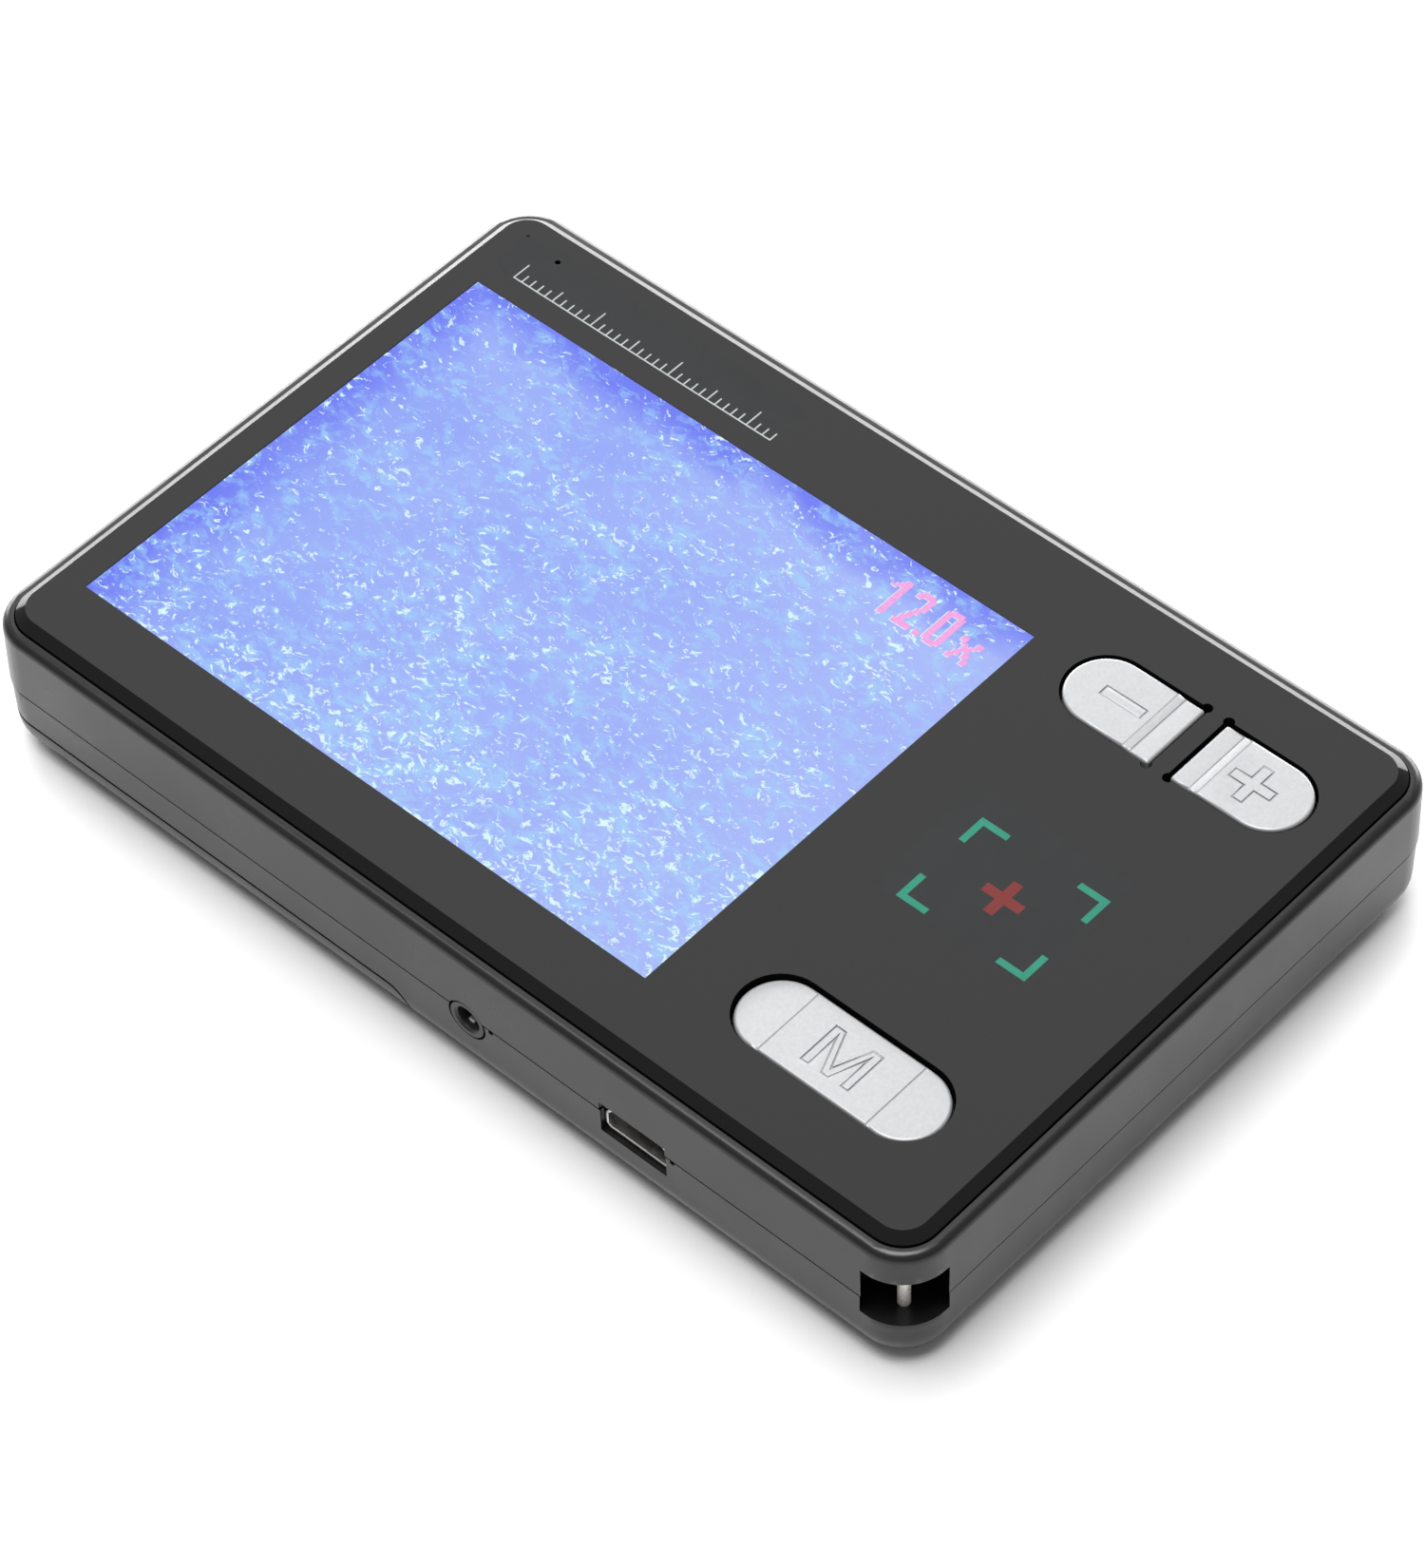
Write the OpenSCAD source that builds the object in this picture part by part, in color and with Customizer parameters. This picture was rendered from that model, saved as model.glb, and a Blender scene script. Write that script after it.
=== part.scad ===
// Handheld electronic low vision magnifier with a 3.5 inch display.
// Millimetres, +Z up. It lies on its back: X runs along the length towards the key end,
// Y runs towards the long edge away from the sockets, and the origin is under its middle.

/* [Body] */
// Length of the case
body_l = 112.5; // [108:0.5:120]
// Width of the case
body_w = 73; // [72:0.5:80]
// Overall height, from the resting face to the top of the front panel
body_h = 16.6; // [16:0.1:18]
// Plan radius of the case corners
corner_r = 5; // [4.6:0.1:6]
// Wall thickness of the case
wall = 1.5; // [1.2:0.1:1.6]
// Height of the parting line between the two case halves
part_z = 8.4; // [8.2:0.1:8.9]
// Radius of the rounded shoulder of the upper case
shoulder_r = 0.9; // [0.6:0.1:1]
// Radius of the rounded lower edge of the case
belly_r = 3.7; // [3:0.1:3.9]

/* [Front panel] */
// Thickness of the clear acrylic sheet
panel_t = 2; // [1.8:0.1:2.2]
// How far the sheet stands above the case rim
panel_rise = 1; // [0.8:0.1:1.2]
// Distance from the case side to the edge of the sheet
panel_inset = 1.4; // [1.3:0.1:1.6]
// Width of the bevel round the sheet
bevel_w = 1; // [0.8:0.1:1.2]
// Height of the bevel round the sheet
bevel_h = 0.8; // [0.6:0.02:0.9]

/* [Display] */
// Length of the lit picture, 4:3, 3.5 inches across corners
picture_l = 70.08; // [69:0.02:71]
// Width of the lit picture
picture_w = 52.56; // [52:0.02:53]
// Middle of the picture along X
picture_x = -17.9; // [-18.2:0.1:-17.4]

/* [Keys] */
// Width of every key
key_w = 8.2; // [7.8:0.1:8.4]
// Length of the mode key
mode_l = 22.2; // [21:0.1:23]
// Middle of the three keys along X
keys_x = 37.15; // [36.8:0.05:37.5]
// Outside length of the zoom key pair
zoom_pair_l = 26.6; // [26:0.1:27]
// Width of the panel bar between the two zoom keys
zoom_bar = 2.5; // [2.2:0.1:2.8]
// Middle of the zoom keys along Y
zoom_y = 23.5; // [23.2:0.05:23.8]
// Middle of the mode key along Y
mode_y = -23.1; // [-23.5:0.05:-22.8]
// Downward travel of a key
key_travel = 0.4; // [0.3:0.05:0.4]
// Gap round each key in its hole
key_gap = 0.3; // [0.25:0.05:0.35]

/* [Sockets] */
// Middle of the video jack along X
jack_x = 4.9; // [4.6:0.1:5.4]
// Radius of the jack bore, for a 2.5 mm plug
jack_bore_r = 1.3; // [1.27:0.01:1.35]
// Middle of the mini USB socket along X
usb_x = 24.7; // [24.4:0.1:25.4]
// Radius of the lanyard pin
lanyard_pin_r = 0.6; // [0.5:0.05:0.7]

/* [Battery bay] */
// Edge of the battery cover along X
door_x = -2.4; // [-3:0.1:-2]
// Height of the seam of the battery cover
door_z = 4; // [3.8:0.1:4.5]

/* [Hidden] */

eps = 0.01;
round_fn = 72;
bore_fn = 48;

case_black = "#26272a";
panel_clear = "#3b3c3f";
print_black = "#0c0c0d";
key_silver = "#d3d6da";
board_green = "#1e4a33";
chip_black = "#1a1a1c";
steel = "#b9bcc0";
gold = "#c9a24a";

// Heights of the layers, worked down from the front panel
rim_z = body_h - panel_rise;
panel_z = body_h - panel_t;
ink_gap = 0.02;
print_top = panel_z - ink_gap;
print_t = 0.15;
print_z = print_top - print_t;
mark_t = 0.05;
tape_t = 0.75;
deck_top = print_z - tape_t;
deck_t = 1.3;
deck_z = deck_top - deck_t;
tape_margin = 0.6;
tape_window = 1.3;

// Front sheet outline
panel_l = body_l - 2 * panel_inset;
panel_w = body_w - 2 * panel_inset;
panel_r = corner_r - panel_inset;
pocket_gap = 0.15;

// Display module
glass_t = 0.8;
glass_z = deck_top - 0.1 - glass_t;
module_z = 10.9;
module_x0 = picture_x - picture_l / 2 - 0.95;
module_x1 = picture_x + picture_l / 2 + 4.4;
module_w = 63.9;
module_gap = 0.2;
window_margin = 0.75;

// Main board
board_t = 1.2;
board_z = 9.3;
board_top = board_z + board_t;
board_l = 106.4;
board_w = 67;

// Lower case
step_in = 0.12;
seam_gap = 0.38;
lower_wall = 1.8;
lower_top = part_z - seam_gap;
floor_t = 1.5;
tongue_inset = 1.6;
tongue_t = 1;
tongue_top = part_z + 1;

// Camera, under the middle of the target mark
cam_x = 35.25;
cam_y = 0;
bay_l = 22;
bay_w = 18;
bay_h = 1.2;
bay_r = 2;
bay_flare = 0.8;
bay_rim = 1.2;
window_ledge = 0.5;
window_l = bay_l + 2 * window_ledge;
window_w = bay_w + 2 * window_ledge;
window_t = 1;
cam_board_z = 11.2;
cam_board_t = 0.8;
cam_board_l = 16;
cam_board_w = 14;
sensor_l = 6;
sensor_t = 0.7;
holder_w = 9.6;
holder_z = 6.9;
holder_foot_t = 1.3;
holder_tube_r = 4.2;
barrel_r = 3.3;
barrel_l = 3.2;
lens_r = 2.2;
stop_r = 1.1;

// Target mark printed round the point that the camera looks at
mark_l = 14.7;
mark_w = 11.75;
mark_y = 0.4;
mark_arm = 3.3;
mark_line = 0.7;
cross_arm = 2.15;
cross_line = 1.05;

// Keys
flange_t = 0.7;
flange_over = 0.7;
flange_top = deck_z - 0.1;
flange_z = flange_top - flange_t;
zoom_face = body_h;
zoom_step = zoom_face - 0.14;
mode_face = body_h - 0.25;
step_l = 2.1;
slope_l = 0.9;
zoom_key_l = (zoom_pair_l - zoom_bar) / 2;
key_offset = (zoom_bar + zoom_key_l) / 2;
glyph_line = 0.16;
glyph_depth = 0.12;
glyph_shift = 0.1;
bar_l = 4.8;
bar_w = 1.3;

// Switches under the keys
switch_w = 6;
switch_h = 0.6;
stem_r = 1.5;
stem_z = board_top + key_travel + 0.1;

// Lanyard corner
pocket_x = body_l / 2 - 3.45;
pocket_y = -(body_w / 2 - 3.4);
pocket_r = 3.9;
pocket_wall = 1.2;
pocket_z0 = 5.9;
pocket_z1 = 12;
pin_z0 = pocket_z0 - 0.7;
pin_z1 = pocket_z1 + 0.8;

// Sockets
socket_cut = 4;
jack_z = 7.3;
jack_face = -body_w / 2 + 0.1;
bush_r = 2;
bush_gap = 0.22;
bush_l = 3;
jack_block_w = 6;
jack_block_h = 4.6;
jack_block_l = 8.6;
jack_bore_l = 11;
usb_z0 = 5.5;
usb_h = 3.7;
usb_low_w = 7.5;
usb_high_w = 6;
usb_flare_h = 2;
usb_neck_h = 2.9;
usb_chamfer = 0.5;
usb_face = -body_w / 2 + 0.7;
usb_depth = 7;
usb_metal = 0.3;
usb_hole_w = usb_low_w + 0.2;
usb_tongue_w = 4.6;
usb_tongue_l = 4;
usb_tongue_t = 0.8;
usb_tongue_z = usb_z0 + 2;
usb_back_l = 2;

// Battery bay, open downwards
well_x0 = -46.5;
well_x1 = -4.5;
well_w = 56.6;
well_wall = 1.2;
well_top = 8.7;
well_lid = 1;
pack_l = 33.9;
pack_w = 53.2;
pack_t = 5.1;
pack_z = 2.45;
cover_gap = 0.3;
door_r = 2.6;
cover_wall = 1.3;
rail_out = 1.5;
rail_z = 2.6;
rail_t = 0.8;
hook_gap = 0.25;

// Tab on the edge of the battery cover and the slot that it enters
tab_w = 10;
tab_t = 0.8;
tab_root = 1.9;
tab_l = 2.5;
tab_gap = 0.3;

// Play between parts
press_gap = 0.02;
slip_gap = 0.1;

// Screws
screw_pos = [[-51, 31], [-51, -31], [49.5, 31.5], [42.5, -31.5]];
screw_z = 4.7;
head_r = 1.6;
head_h = 1;
shank_r = 0.7;
shank_l = 4.4;
post_top = 6.1;
tray_t = post_top - door_z - cover_gap;
low_post_r = 2.6;
small_post_r = 1.6;
small_screw_pos = [[25, 13, board_z], [25, -13, board_z], [50.5, 9, board_z], [50.5, -9, board_z],
    [cam_x - 6.4, 5.4, cam_board_z], [cam_x + 6.4, -5.4, cam_board_z]];
small_head_r = 1.15;
small_head_h = 0.6;
small_shank_r = 0.5;
small_shank_l = 2.2;

// Status light
light_x = -48.2;
light_y = 32.55;
light_pipe_r = 0.4;
light_dot_r = 0.3;

// ---- Shared shapes -------------------------------------------------------------------

// Half of a cross-section on +X, mirrored to both sides; profile is a list of [inset, z]
function cross_section(span, profile) = concat(
    [for (p = profile) [span / 2 - p[0], p[1]]],
    [for (i = [len(profile) - 1 : -1 : 0]) [profile[i][0] - span / 2, profile[i][1]]]);

// A quarter circle that leaves a vertical side at inset x0 and ends level at height z1
function shoulder_arc(x0, z1, r) = [for (a = [0 : 15 : 90]) [x0 + r - r * cos(a), z1 - r + r * sin(a)]];

// A quarter circle that leaves the level base at height 0 and ends upright at inset x0
function belly_arc(x0, r) = [for (a = [0 : 9 : 90]) [x0 + r * (1 - sin(a)), r * (1 - cos(a))]];

// Rounded rectangle in plan whose edge follows the profile all the way round
module edge_slab(l, w, r, profile) {
    last = len(profile) - 1;
    quarter = concat([[0, profile[0][1]]], [for (p = profile) [r - p[0], p[1]]], [[0, profile[last][1]]]);
    for (k = [0 : 3]) {
        sx = (k == 0 || k == 3) ? 1 : -1;
        sy = k < 2 ? 1 : -1;
        translate([sx * (l / 2 - r), sy * (w / 2 - r), 0])
            rotate([0, 0, 90 * k])
                rotate_extrude(angle = 90, $fn = round_fn)
                    polygon(quarter);
    }
    translate([0, w / 2 - r, 0])
        rotate([90, 0, 0])
            linear_extrude(w - 2 * r)
                polygon(cross_section(l, profile));
    translate([-(l / 2 - r), 0, 0])
        rotate([90, 0, 90])
            linear_extrude(l - 2 * r)
                polygon(cross_section(w, profile));
}

module round_plate(l, w, r, z0, z1) {
    edge_slab(l, w, r, [[0, z0], [0, z1]]);
}

module box_at(x, y, z, size) {
    translate([x - size[0] / 2, y - size[1] / 2, z])
        cube(size);
}

// Box given by its lowest and highest corners
module box_between(lo, hi) {
    translate(lo)
        cube(hi - lo);
}

module rod(x, y, z0, z1, r, fn = bore_fn) {
    translate([x, y, z0])
        cylinder(h = z1 - z0, r = r, $fn = fn);
}

// ---- Key outlines --------------------------------------------------------------------

// Plan of a zoom key: round at the outer end, flat at the bar; grow adds a border
module zoom_plan(side, grow = 0) {
    r = key_w / 2 + grow;
    round_x = side * (zoom_key_l / 2 - key_w / 2);
    flat_x = -side * (zoom_key_l / 2 + grow);
    translate([round_x, 0])
        circle(r = r, $fn = round_fn);
    translate([min(round_x, flat_x), -r])
        square([abs(round_x - flat_x), 2 * r]);
}

// Plan of the mode key: a stadium
module mode_plan(grow = 0) {
    r = key_w / 2 + grow;
    straight = mode_l - key_w;
    for (s = [-1, 1])
        translate([s * straight / 2, 0])
            circle(r = r, $fn = round_fn);
    translate([-straight / 2, -r])
        square([straight, 2 * r]);
}

// All three key holes, with round reliefs in the square corners of the zoom holes
module key_holes(grow) {
    relief_r = 0.55;
    for (side = [-1, 1])
        translate([keys_x + side * key_offset, zoom_y]) {
            zoom_plan(side, grow);
            for (s = [-1, 1])
                translate([-side * (zoom_key_l / 2 + grow - 0.3), s * (key_w / 2 + grow - 0.1)])
                    circle(r = relief_r, $fn = 24);
        }
    translate([keys_x, mode_y])
        mode_plan(grow);
}

module display_window(margin) {
    translate([picture_x - picture_l / 2 - margin, -picture_w / 2 - margin])
        square([picture_l + 2 * margin, picture_w + 2 * margin]);
}

// ---- Case ----------------------------------------------------------------------------

side_draft = 0.1;
side_in = step_in + 0.08;
upper_profile = concat([[0, part_z]], shoulder_arc(side_draft, rim_z, shoulder_r));
lower_profile = concat(belly_arc(side_in, belly_r), [[step_in, lower_top]]);

// Openings in the case wall for the two sockets
module socket_openings() {
    outside = -body_w / 2 - 1;
    translate([jack_x, outside + 1 + socket_cut, jack_z])
        rotate([90, 0, 0])
            cylinder(h = socket_cut + 1, r = bush_r + bush_gap, $fn = bore_fn);
    box_between([usb_x - usb_hole_w / 2, outside, usb_z0 - usb_metal],
        [usb_x + usb_hole_w / 2, outside + 1 + socket_cut, usb_z0 + usb_h + slip_gap]);
}

module lanyard_hollow() {
    rod(pocket_x, pocket_y, pocket_z0, pocket_z1, pocket_r, round_fn);
}

module upper_housing() {
    color(case_black)
        difference() {
            union() {
                difference() {
                    edge_slab(body_l, body_w, corner_r, upper_profile);
                    round_plate(body_l - 2 * wall, body_w - 2 * wall, corner_r - wall, part_z - 1, deck_z);
                }
                intersection() {
                    rod(pocket_x, pocket_y, part_z, deck_z + eps, pocket_r + pocket_wall, round_fn);
                    round_plate(body_l - wall, body_w - wall, corner_r - wall / 2, part_z, deck_z + 1);
                }
                corner_bosses();
                for (p = small_screw_pos)
                    rod(p[0], p[1], p[2] == board_z ? board_top : cam_board_z + cam_board_t, deck_z + eps,
                        small_post_r);
            }
            round_plate(panel_l + 2 * pocket_gap, panel_w + 2 * pocket_gap, panel_r + pocket_gap,
                deck_top, body_h);
            box_between([module_x0 - module_gap, -module_w / 2 - module_gap, deck_z - 1],
                [module_x1 + module_gap, module_w / 2 + module_gap, deck_top + 1]);
            translate([0, 0, deck_z - 1])
                linear_extrude(deck_t + 2)
                    key_holes(key_gap);
            socket_openings();
            lanyard_hollow();
            rod(pocket_x, pocket_y, part_z, pin_z1 + slip_gap, lanyard_pin_r + press_gap);
            for (p = screw_pos)
                rod(p[0], p[1], 0, screw_z + head_h + shank_l + slip_gap, shank_r + press_gap);
            for (p = small_screw_pos)
                rod(p[0], p[1], p[2], p[2] + small_shank_l + slip_gap, small_shank_r + press_gap);
            rod(light_x, light_y, deck_z - 1, deck_top + 1, light_pipe_r + slip_gap);
        }
}

// Bosses for the case screws: two hang from the deck, two sit on corner webs below the display
module corner_bosses() {
    boss_r = 2.2;
    web_z0 = tongue_top + slip_gap / 2;
    web_z1 = module_z - slip_gap;
    for (p = screw_pos)
        rod(p[0], p[1], post_top + slip_gap, p[0] < 0 ? web_z1 : deck_z + eps, boss_r);
    for (s = [-1, 1]) {
        y0 = s > 0 ? screw_pos[0][1] : -body_w / 2 + wall - eps;
        box_between([-body_l / 2 + wall - eps, y0, web_z0],
            [screw_pos[0][0], y0 + body_w / 2 - wall + eps - screw_pos[0][1], web_z1]);
    }
}

module lower_housing() {
    color(case_black)
        difference() {
            union() {
                lower_skin();
                battery_tray();
                camera_bay_walls();
                for (p = screw_pos)
                    if (p[0] > 0)
                        rod(p[0], p[1], floor_t - eps, post_top, low_post_r);
                intersection() {
                    rod(pocket_x, pocket_y, pocket_z0 - pocket_wall, lower_top, pocket_r + pocket_wall,
                        round_fn);
                    round_plate(body_l - lower_wall, body_w - lower_wall, corner_r - lower_wall / 2,
                        1, lower_top);
                }
            }
            socket_openings();
            lanyard_hollow();
            rod(pocket_x, pocket_y, pin_z0 - slip_gap, tongue_top + 1, lanyard_pin_r + press_gap);
            for (p = screw_pos) {
                rod(p[0], p[1], -1, screw_z + head_h, head_r + 0.15);
                rod(p[0], p[1], screw_z, tongue_top, shank_r + 0.2);
            }
            edge_notches();
            translate([cam_x, cam_y, 0])
                edge_slab(bay_l, bay_w, bay_r, [[-bay_flare, -eps], [0, bay_flare], [0, bay_h + 1]]);
            box_at(cam_x, cam_y, bay_h, [window_l + slip_gap, window_w + slip_gap, window_t + 2]);
        }
}

// Outer skin of the lower half, with the tongue that rises inside the upper half
module lower_skin() {
    difference() {
        edge_slab(body_l, body_w, corner_r, lower_profile);
        round_plate(body_l - 2 * lower_wall, body_w - 2 * lower_wall, corner_r - lower_wall,
            floor_t, part_z + 1);
        door_block(door_x, door_z + cover_gap, door_r + cover_gap);
    }
    difference() {
        round_plate(body_l - 2 * tongue_inset, body_w - 2 * tongue_inset, corner_r - tongue_inset,
            lower_top - 1.2, tongue_top);
        round_plate(body_l - 2 * (tongue_inset + tongue_t), body_w - 2 * (tongue_inset + tongue_t),
            corner_r - tongue_inset - tongue_t, lower_top - 2, tongue_top + 1);
        rod(pocket_x, pocket_y, lower_top, tongue_top + 1, pocket_r + pocket_wall + 2 * slip_gap, round_fn);
    }
    // upright wall that closes the key half against the battery bay
    intersection() {
        box_between([door_x, -body_w / 2 + tongue_inset, 0],
            [door_x + well_wall, body_w / 2 - tongue_inset, well_top]);
        edge_slab(body_l - 1, body_w - 1, corner_r - 0.5,
            concat(belly_arc(side_in, belly_r), [[side_in, well_top]]));
    }
}

// Tray over the battery cover, the bay that hangs from it and the rails that hold the cover
module battery_tray() {
    tray_z = door_z + cover_gap;
    difference() {
        union() {
            intersection() {
                box_between([-body_l, -body_w, tray_z], [door_x + eps, body_w, tray_z + tray_t]);
                round_plate(body_l - lower_wall, body_w - lower_wall, corner_r - lower_wall / 2, 1, part_z);
            }
            box_between([well_x0, -well_w / 2, floor_t + 2 * slip_gap], [well_x1, well_w / 2, well_top]);
            for (s = [-1, 1])
                box_between([well_x0, s > 0 ? well_w / 2 - eps : -well_w / 2 - rail_out, rail_z],
                    [well_x1, s > 0 ? well_w / 2 + rail_out : -well_w / 2 + eps, rail_z + rail_t]);
        }
        box_between([well_x0 + well_wall, -well_w / 2 + well_wall, -1],
            [well_x1 - well_wall, well_w / 2 - well_wall, well_top - well_lid]);
    }
}

// Rim on the floor of the case, round the pocket of the camera window
module camera_bay_walls() {
    translate([cam_x, cam_y, 0])
        round_plate(window_l + 2 * bay_rim, window_w + 2 * bay_rim, bay_r + bay_rim, floor_t - eps,
            bay_h + window_t + 0.4);
}

// Slot for the cover's tongue, and two small pry notches in the edge beside the sockets
module edge_notches() {
    pry = [0.5, 0.9, 1];
    box_between([well_x1 - well_wall - eps, -tab_w / 2 - tab_gap, floor_t - tab_gap / 6],
        [door_x + well_wall + eps, tab_w / 2 + tab_gap, floor_t + tab_t + tab_gap]);
    for (x = [jack_x + bush_r + 0.9, usb_x + usb_hole_w / 2 + 0.75])
        box_at(x, -body_w / 2, lower_top - 0.4, pry);
}

// Everything below height z and left of x, with its corner rounded as the cover's seam is
module door_block(x, z, r) {
    translate([0, body_w, 0])
        rotate([90, 0, 0])
            linear_extrude(2 * body_w)
                polygon(concat([[-body_l, -1], [x, -1]],
                    [for (a = [0 : 10 : 90]) [x - r + r * cos(a), z - r + r * sin(a)]], [[-body_l, z]]));
}

// Slide-off cover over the battery: its edge wraps round three sides of the case
module battery_cover() {
    cover_x1 = door_x - cover_gap;
    grip_count = 6;
    grip_pitch = 2;
    grip_start = 6;
    grip_w = 22;
    grip_depth = 0.4;
    hook_xs = [-40, -14];
    color(case_black) {
        difference() {
            intersection() {
                edge_slab(body_l, body_w, corner_r, lower_profile);
                door_block(cover_x1, door_z, door_r);
            }
            round_plate(body_l - 2 * (side_in + cover_wall), body_w - 2 * (side_in + cover_wall),
                corner_r - side_in - cover_wall, floor_t, part_z);
            for (i = [1 : grip_count])
                box_at(cover_x1 - grip_start - grip_pitch * i, 0, -eps, [grip_pitch / 2, grip_w, grip_depth]);
        }
        box_between([cover_x1 - tab_root, -tab_w / 2, floor_t - eps], [cover_x1, tab_w / 2, floor_t + tab_t]);
        box_between([cover_x1 - eps, -tab_w / 2, floor_t + slip_gap],
            [cover_x1 + tab_l, tab_w / 2, floor_t + tab_t]);
        for (s = [-1, 1], x = hook_xs)
            cover_hook(x, s);
    }
}

// L-shaped hook that runs under the rail of the battery bay
module cover_hook(x, s) {
    hook_l = 6;
    stalk_t = 1.2;
    lip_l = 1.1;
    lip_t = 0.6;
    inner = well_w / 2 + rail_out + hook_gap;
    lip_z = rail_z + rail_t + hook_gap;
    mirror([0, s > 0 ? 0 : 1, 0]) {
        box_between([x - hook_l / 2, inner, floor_t - eps], [x + hook_l / 2, inner + stalk_t, lip_z + lip_t]);
        box_between([x - hook_l / 2, inner - lip_l, lip_z], [x + hook_l / 2, inner + eps, lip_z + lip_t]);
    }
}

// ---- Front panel ---------------------------------------------------------------------

module front_panel() {
    color(panel_clear)
        difference() {
            edge_slab(panel_l, panel_w, panel_r,
                [[0, panel_z], [0, body_h - bevel_h], [bevel_w, body_h]]);
            translate([0, 0, panel_z - 1])
                linear_extrude(panel_t + 2)
                    key_holes(key_gap);
        }
}

// Black paint on the back of the sheet, with the clear window for the picture
module panel_print() {
    color(print_black)
        difference() {
            round_plate(panel_l, panel_w, panel_r, print_z, print_top);
            translate([0, 0, print_z - 1])
                linear_extrude(2)
                    union() {
                        key_holes(key_gap);
                        display_window(window_margin);
                        translate([light_x, light_y])
                            circle(r = light_dot_r, $fn = 24);
                    }
            translate([0, 0, print_top - mark_t]) {
                linear_extrude(1)
                    target_frame_plan();
                linear_extrude(1)
                    target_cross_plan();
            }
        }
}

// Four corner brackets
module target_frame_plan() {
    for (sx = [-1, 1], sy = [-1, 1])
        translate([cam_x, mark_y])
            mirror([sx < 0 ? 1 : 0, 0])
                mirror([0, sy < 0 ? 1 : 0]) {
                    translate([mark_l / 2 - mark_arm, mark_w / 2 - mark_line])
                        square([mark_arm, mark_line]);
                    translate([mark_l / 2 - mark_line, mark_w / 2 - mark_arm])
                        square([mark_line, mark_arm]);
                }
}

module target_cross_plan() {
    translate([cam_x, mark_y]) {
        square([2 * cross_arm, cross_line], center = true);
        square([cross_line, 2 * cross_arm], center = true);
    }
}

module target_frame_print() {
    color("#23a58c")
        translate([0, 0, print_top - mark_t])
            linear_extrude(mark_t)
                target_frame_plan();
}

module target_cross_print() {
    color("#c03a34")
        translate([0, 0, print_top - mark_t])
            linear_extrude(mark_t)
                target_cross_plan();
}

// Adhesive foam between the printed sheet and the deck
module panel_adhesive() {
    color("#3a3a3c")
        difference() {
            round_plate(panel_l - 2 * tape_margin, panel_w - 2 * tape_margin, panel_r - tape_margin,
                deck_top, print_z);
            translate([0, 0, deck_top - 1])
                linear_extrude(tape_t + 2)
                    union() {
                        key_holes(key_gap + tape_margin);
                        display_window(tape_window);
                        translate([light_x, light_y])
                            circle(r = light_pipe_r + slip_gap, $fn = 24);
                    }
        }
}

// ---- Display -------------------------------------------------------------------------

glass_x0 = module_x0 + 0.5;
glass_x1 = picture_x + picture_l / 2 + 2.6;
glass_w = picture_w + 5.2;
flex_w = 18;

module display_glass() {
    color("#5f6fd8")
        box_between([glass_x0, -glass_w / 2, glass_z], [glass_x1, glass_w / 2, glass_z + glass_t]);
}

// Backlight tray and frame that hold the glass
module display_frame() {
    color("#c8cacc")
        difference() {
            box_between([module_x0, -module_w / 2, module_z], [module_x1, module_w / 2, deck_top - 0.1]);
            box_between([glass_x0 - slip_gap, -glass_w / 2 - slip_gap, glass_z],
                [glass_x1 + slip_gap, glass_w / 2 + slip_gap, deck_top + 1]);
        }
}

// Ribbon of constant thickness that leaves x0 at height z0 and settles level at z1
module ribbon(x0, z0, z1, l, w) {
    flex_t = 0.12;
    steps = 8;
    top = [for (i = [0 : steps]) [x0 + l * i / steps, z1 + (z0 - z1) * (1 + cos(180 * i / steps)) / 2]];
    color("#b0702a")
        translate([0, w / 2, 0])
            rotate([90, 0, 0])
                linear_extrude(w)
                    polygon(concat(top, [for (i = [steps : -1 : 0]) [top[i][0], top[i][1] - flex_t]]));
}

// Ribbon from the display down to its connector
module display_flex() {
    ribbon(module_x1, 11.6, 11.1, 2, flex_w);
}

module flex_connector() {
    socket_x = module_x1 + 1.8;
    socket_l = 3.4;
    socket_h = 1.1;
    mouth_z = board_top + 0.4;
    color("#e8e2d2")
        difference() {
            box_between([socket_x, -flex_w / 2 - 1, board_top],
                [socket_x + socket_l, flex_w / 2 + 1, board_top + socket_h]);
            box_between([socket_x - slip_gap, -flex_w / 2 - 0.2, mouth_z],
                [socket_x + 0.4, flex_w / 2 + 0.2, mouth_z + 0.3]);
        }
}

// ---- Boards --------------------------------------------------------------------------

// Board with its display-side corners cut away, and notches for the posts, the jack and the camera
module main_board() {
    corner_x = -48;
    corner_y = 28;
    jack_notch_w = jack_block_w + 0.6;
    jack_notch_y = jack_face + bush_l + jack_block_l + 0.2;
    camera_hole = holder_w + 1.2;
    color(board_green)
        difference() {
            round_plate(board_l, board_w, 3, board_z, board_top);
            for (s = [0, 1])
                mirror([0, s, 0])
                    box_between([-board_l, corner_y, 0], [corner_x, body_w, body_h]);
            rod(pocket_x, pocket_y, 0, body_h, pocket_r + pocket_wall + 0.3);
            for (p = screw_pos)
                if (p[0] > 0)
                    rod(p[0], p[1], 0, body_h, low_post_r - slip_gap);
            for (p = small_screw_pos)
                rod(p[0], p[1], 0, body_h, small_shank_r + slip_gap);
            box_between([jack_x - jack_notch_w / 2, -body_w, 0],
                [jack_x + jack_notch_w / 2, jack_notch_y, body_h]);
            box_at(cam_x, cam_y, 0, [camera_hole, camera_hole, body_h]);
        }
}

module main_processor() {
    chip_l = 14;
    chip_t = 1.1;
    color(chip_black)
        box_at(9, 8, board_z - chip_t, [chip_l, chip_l, chip_t]);
}

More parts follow.
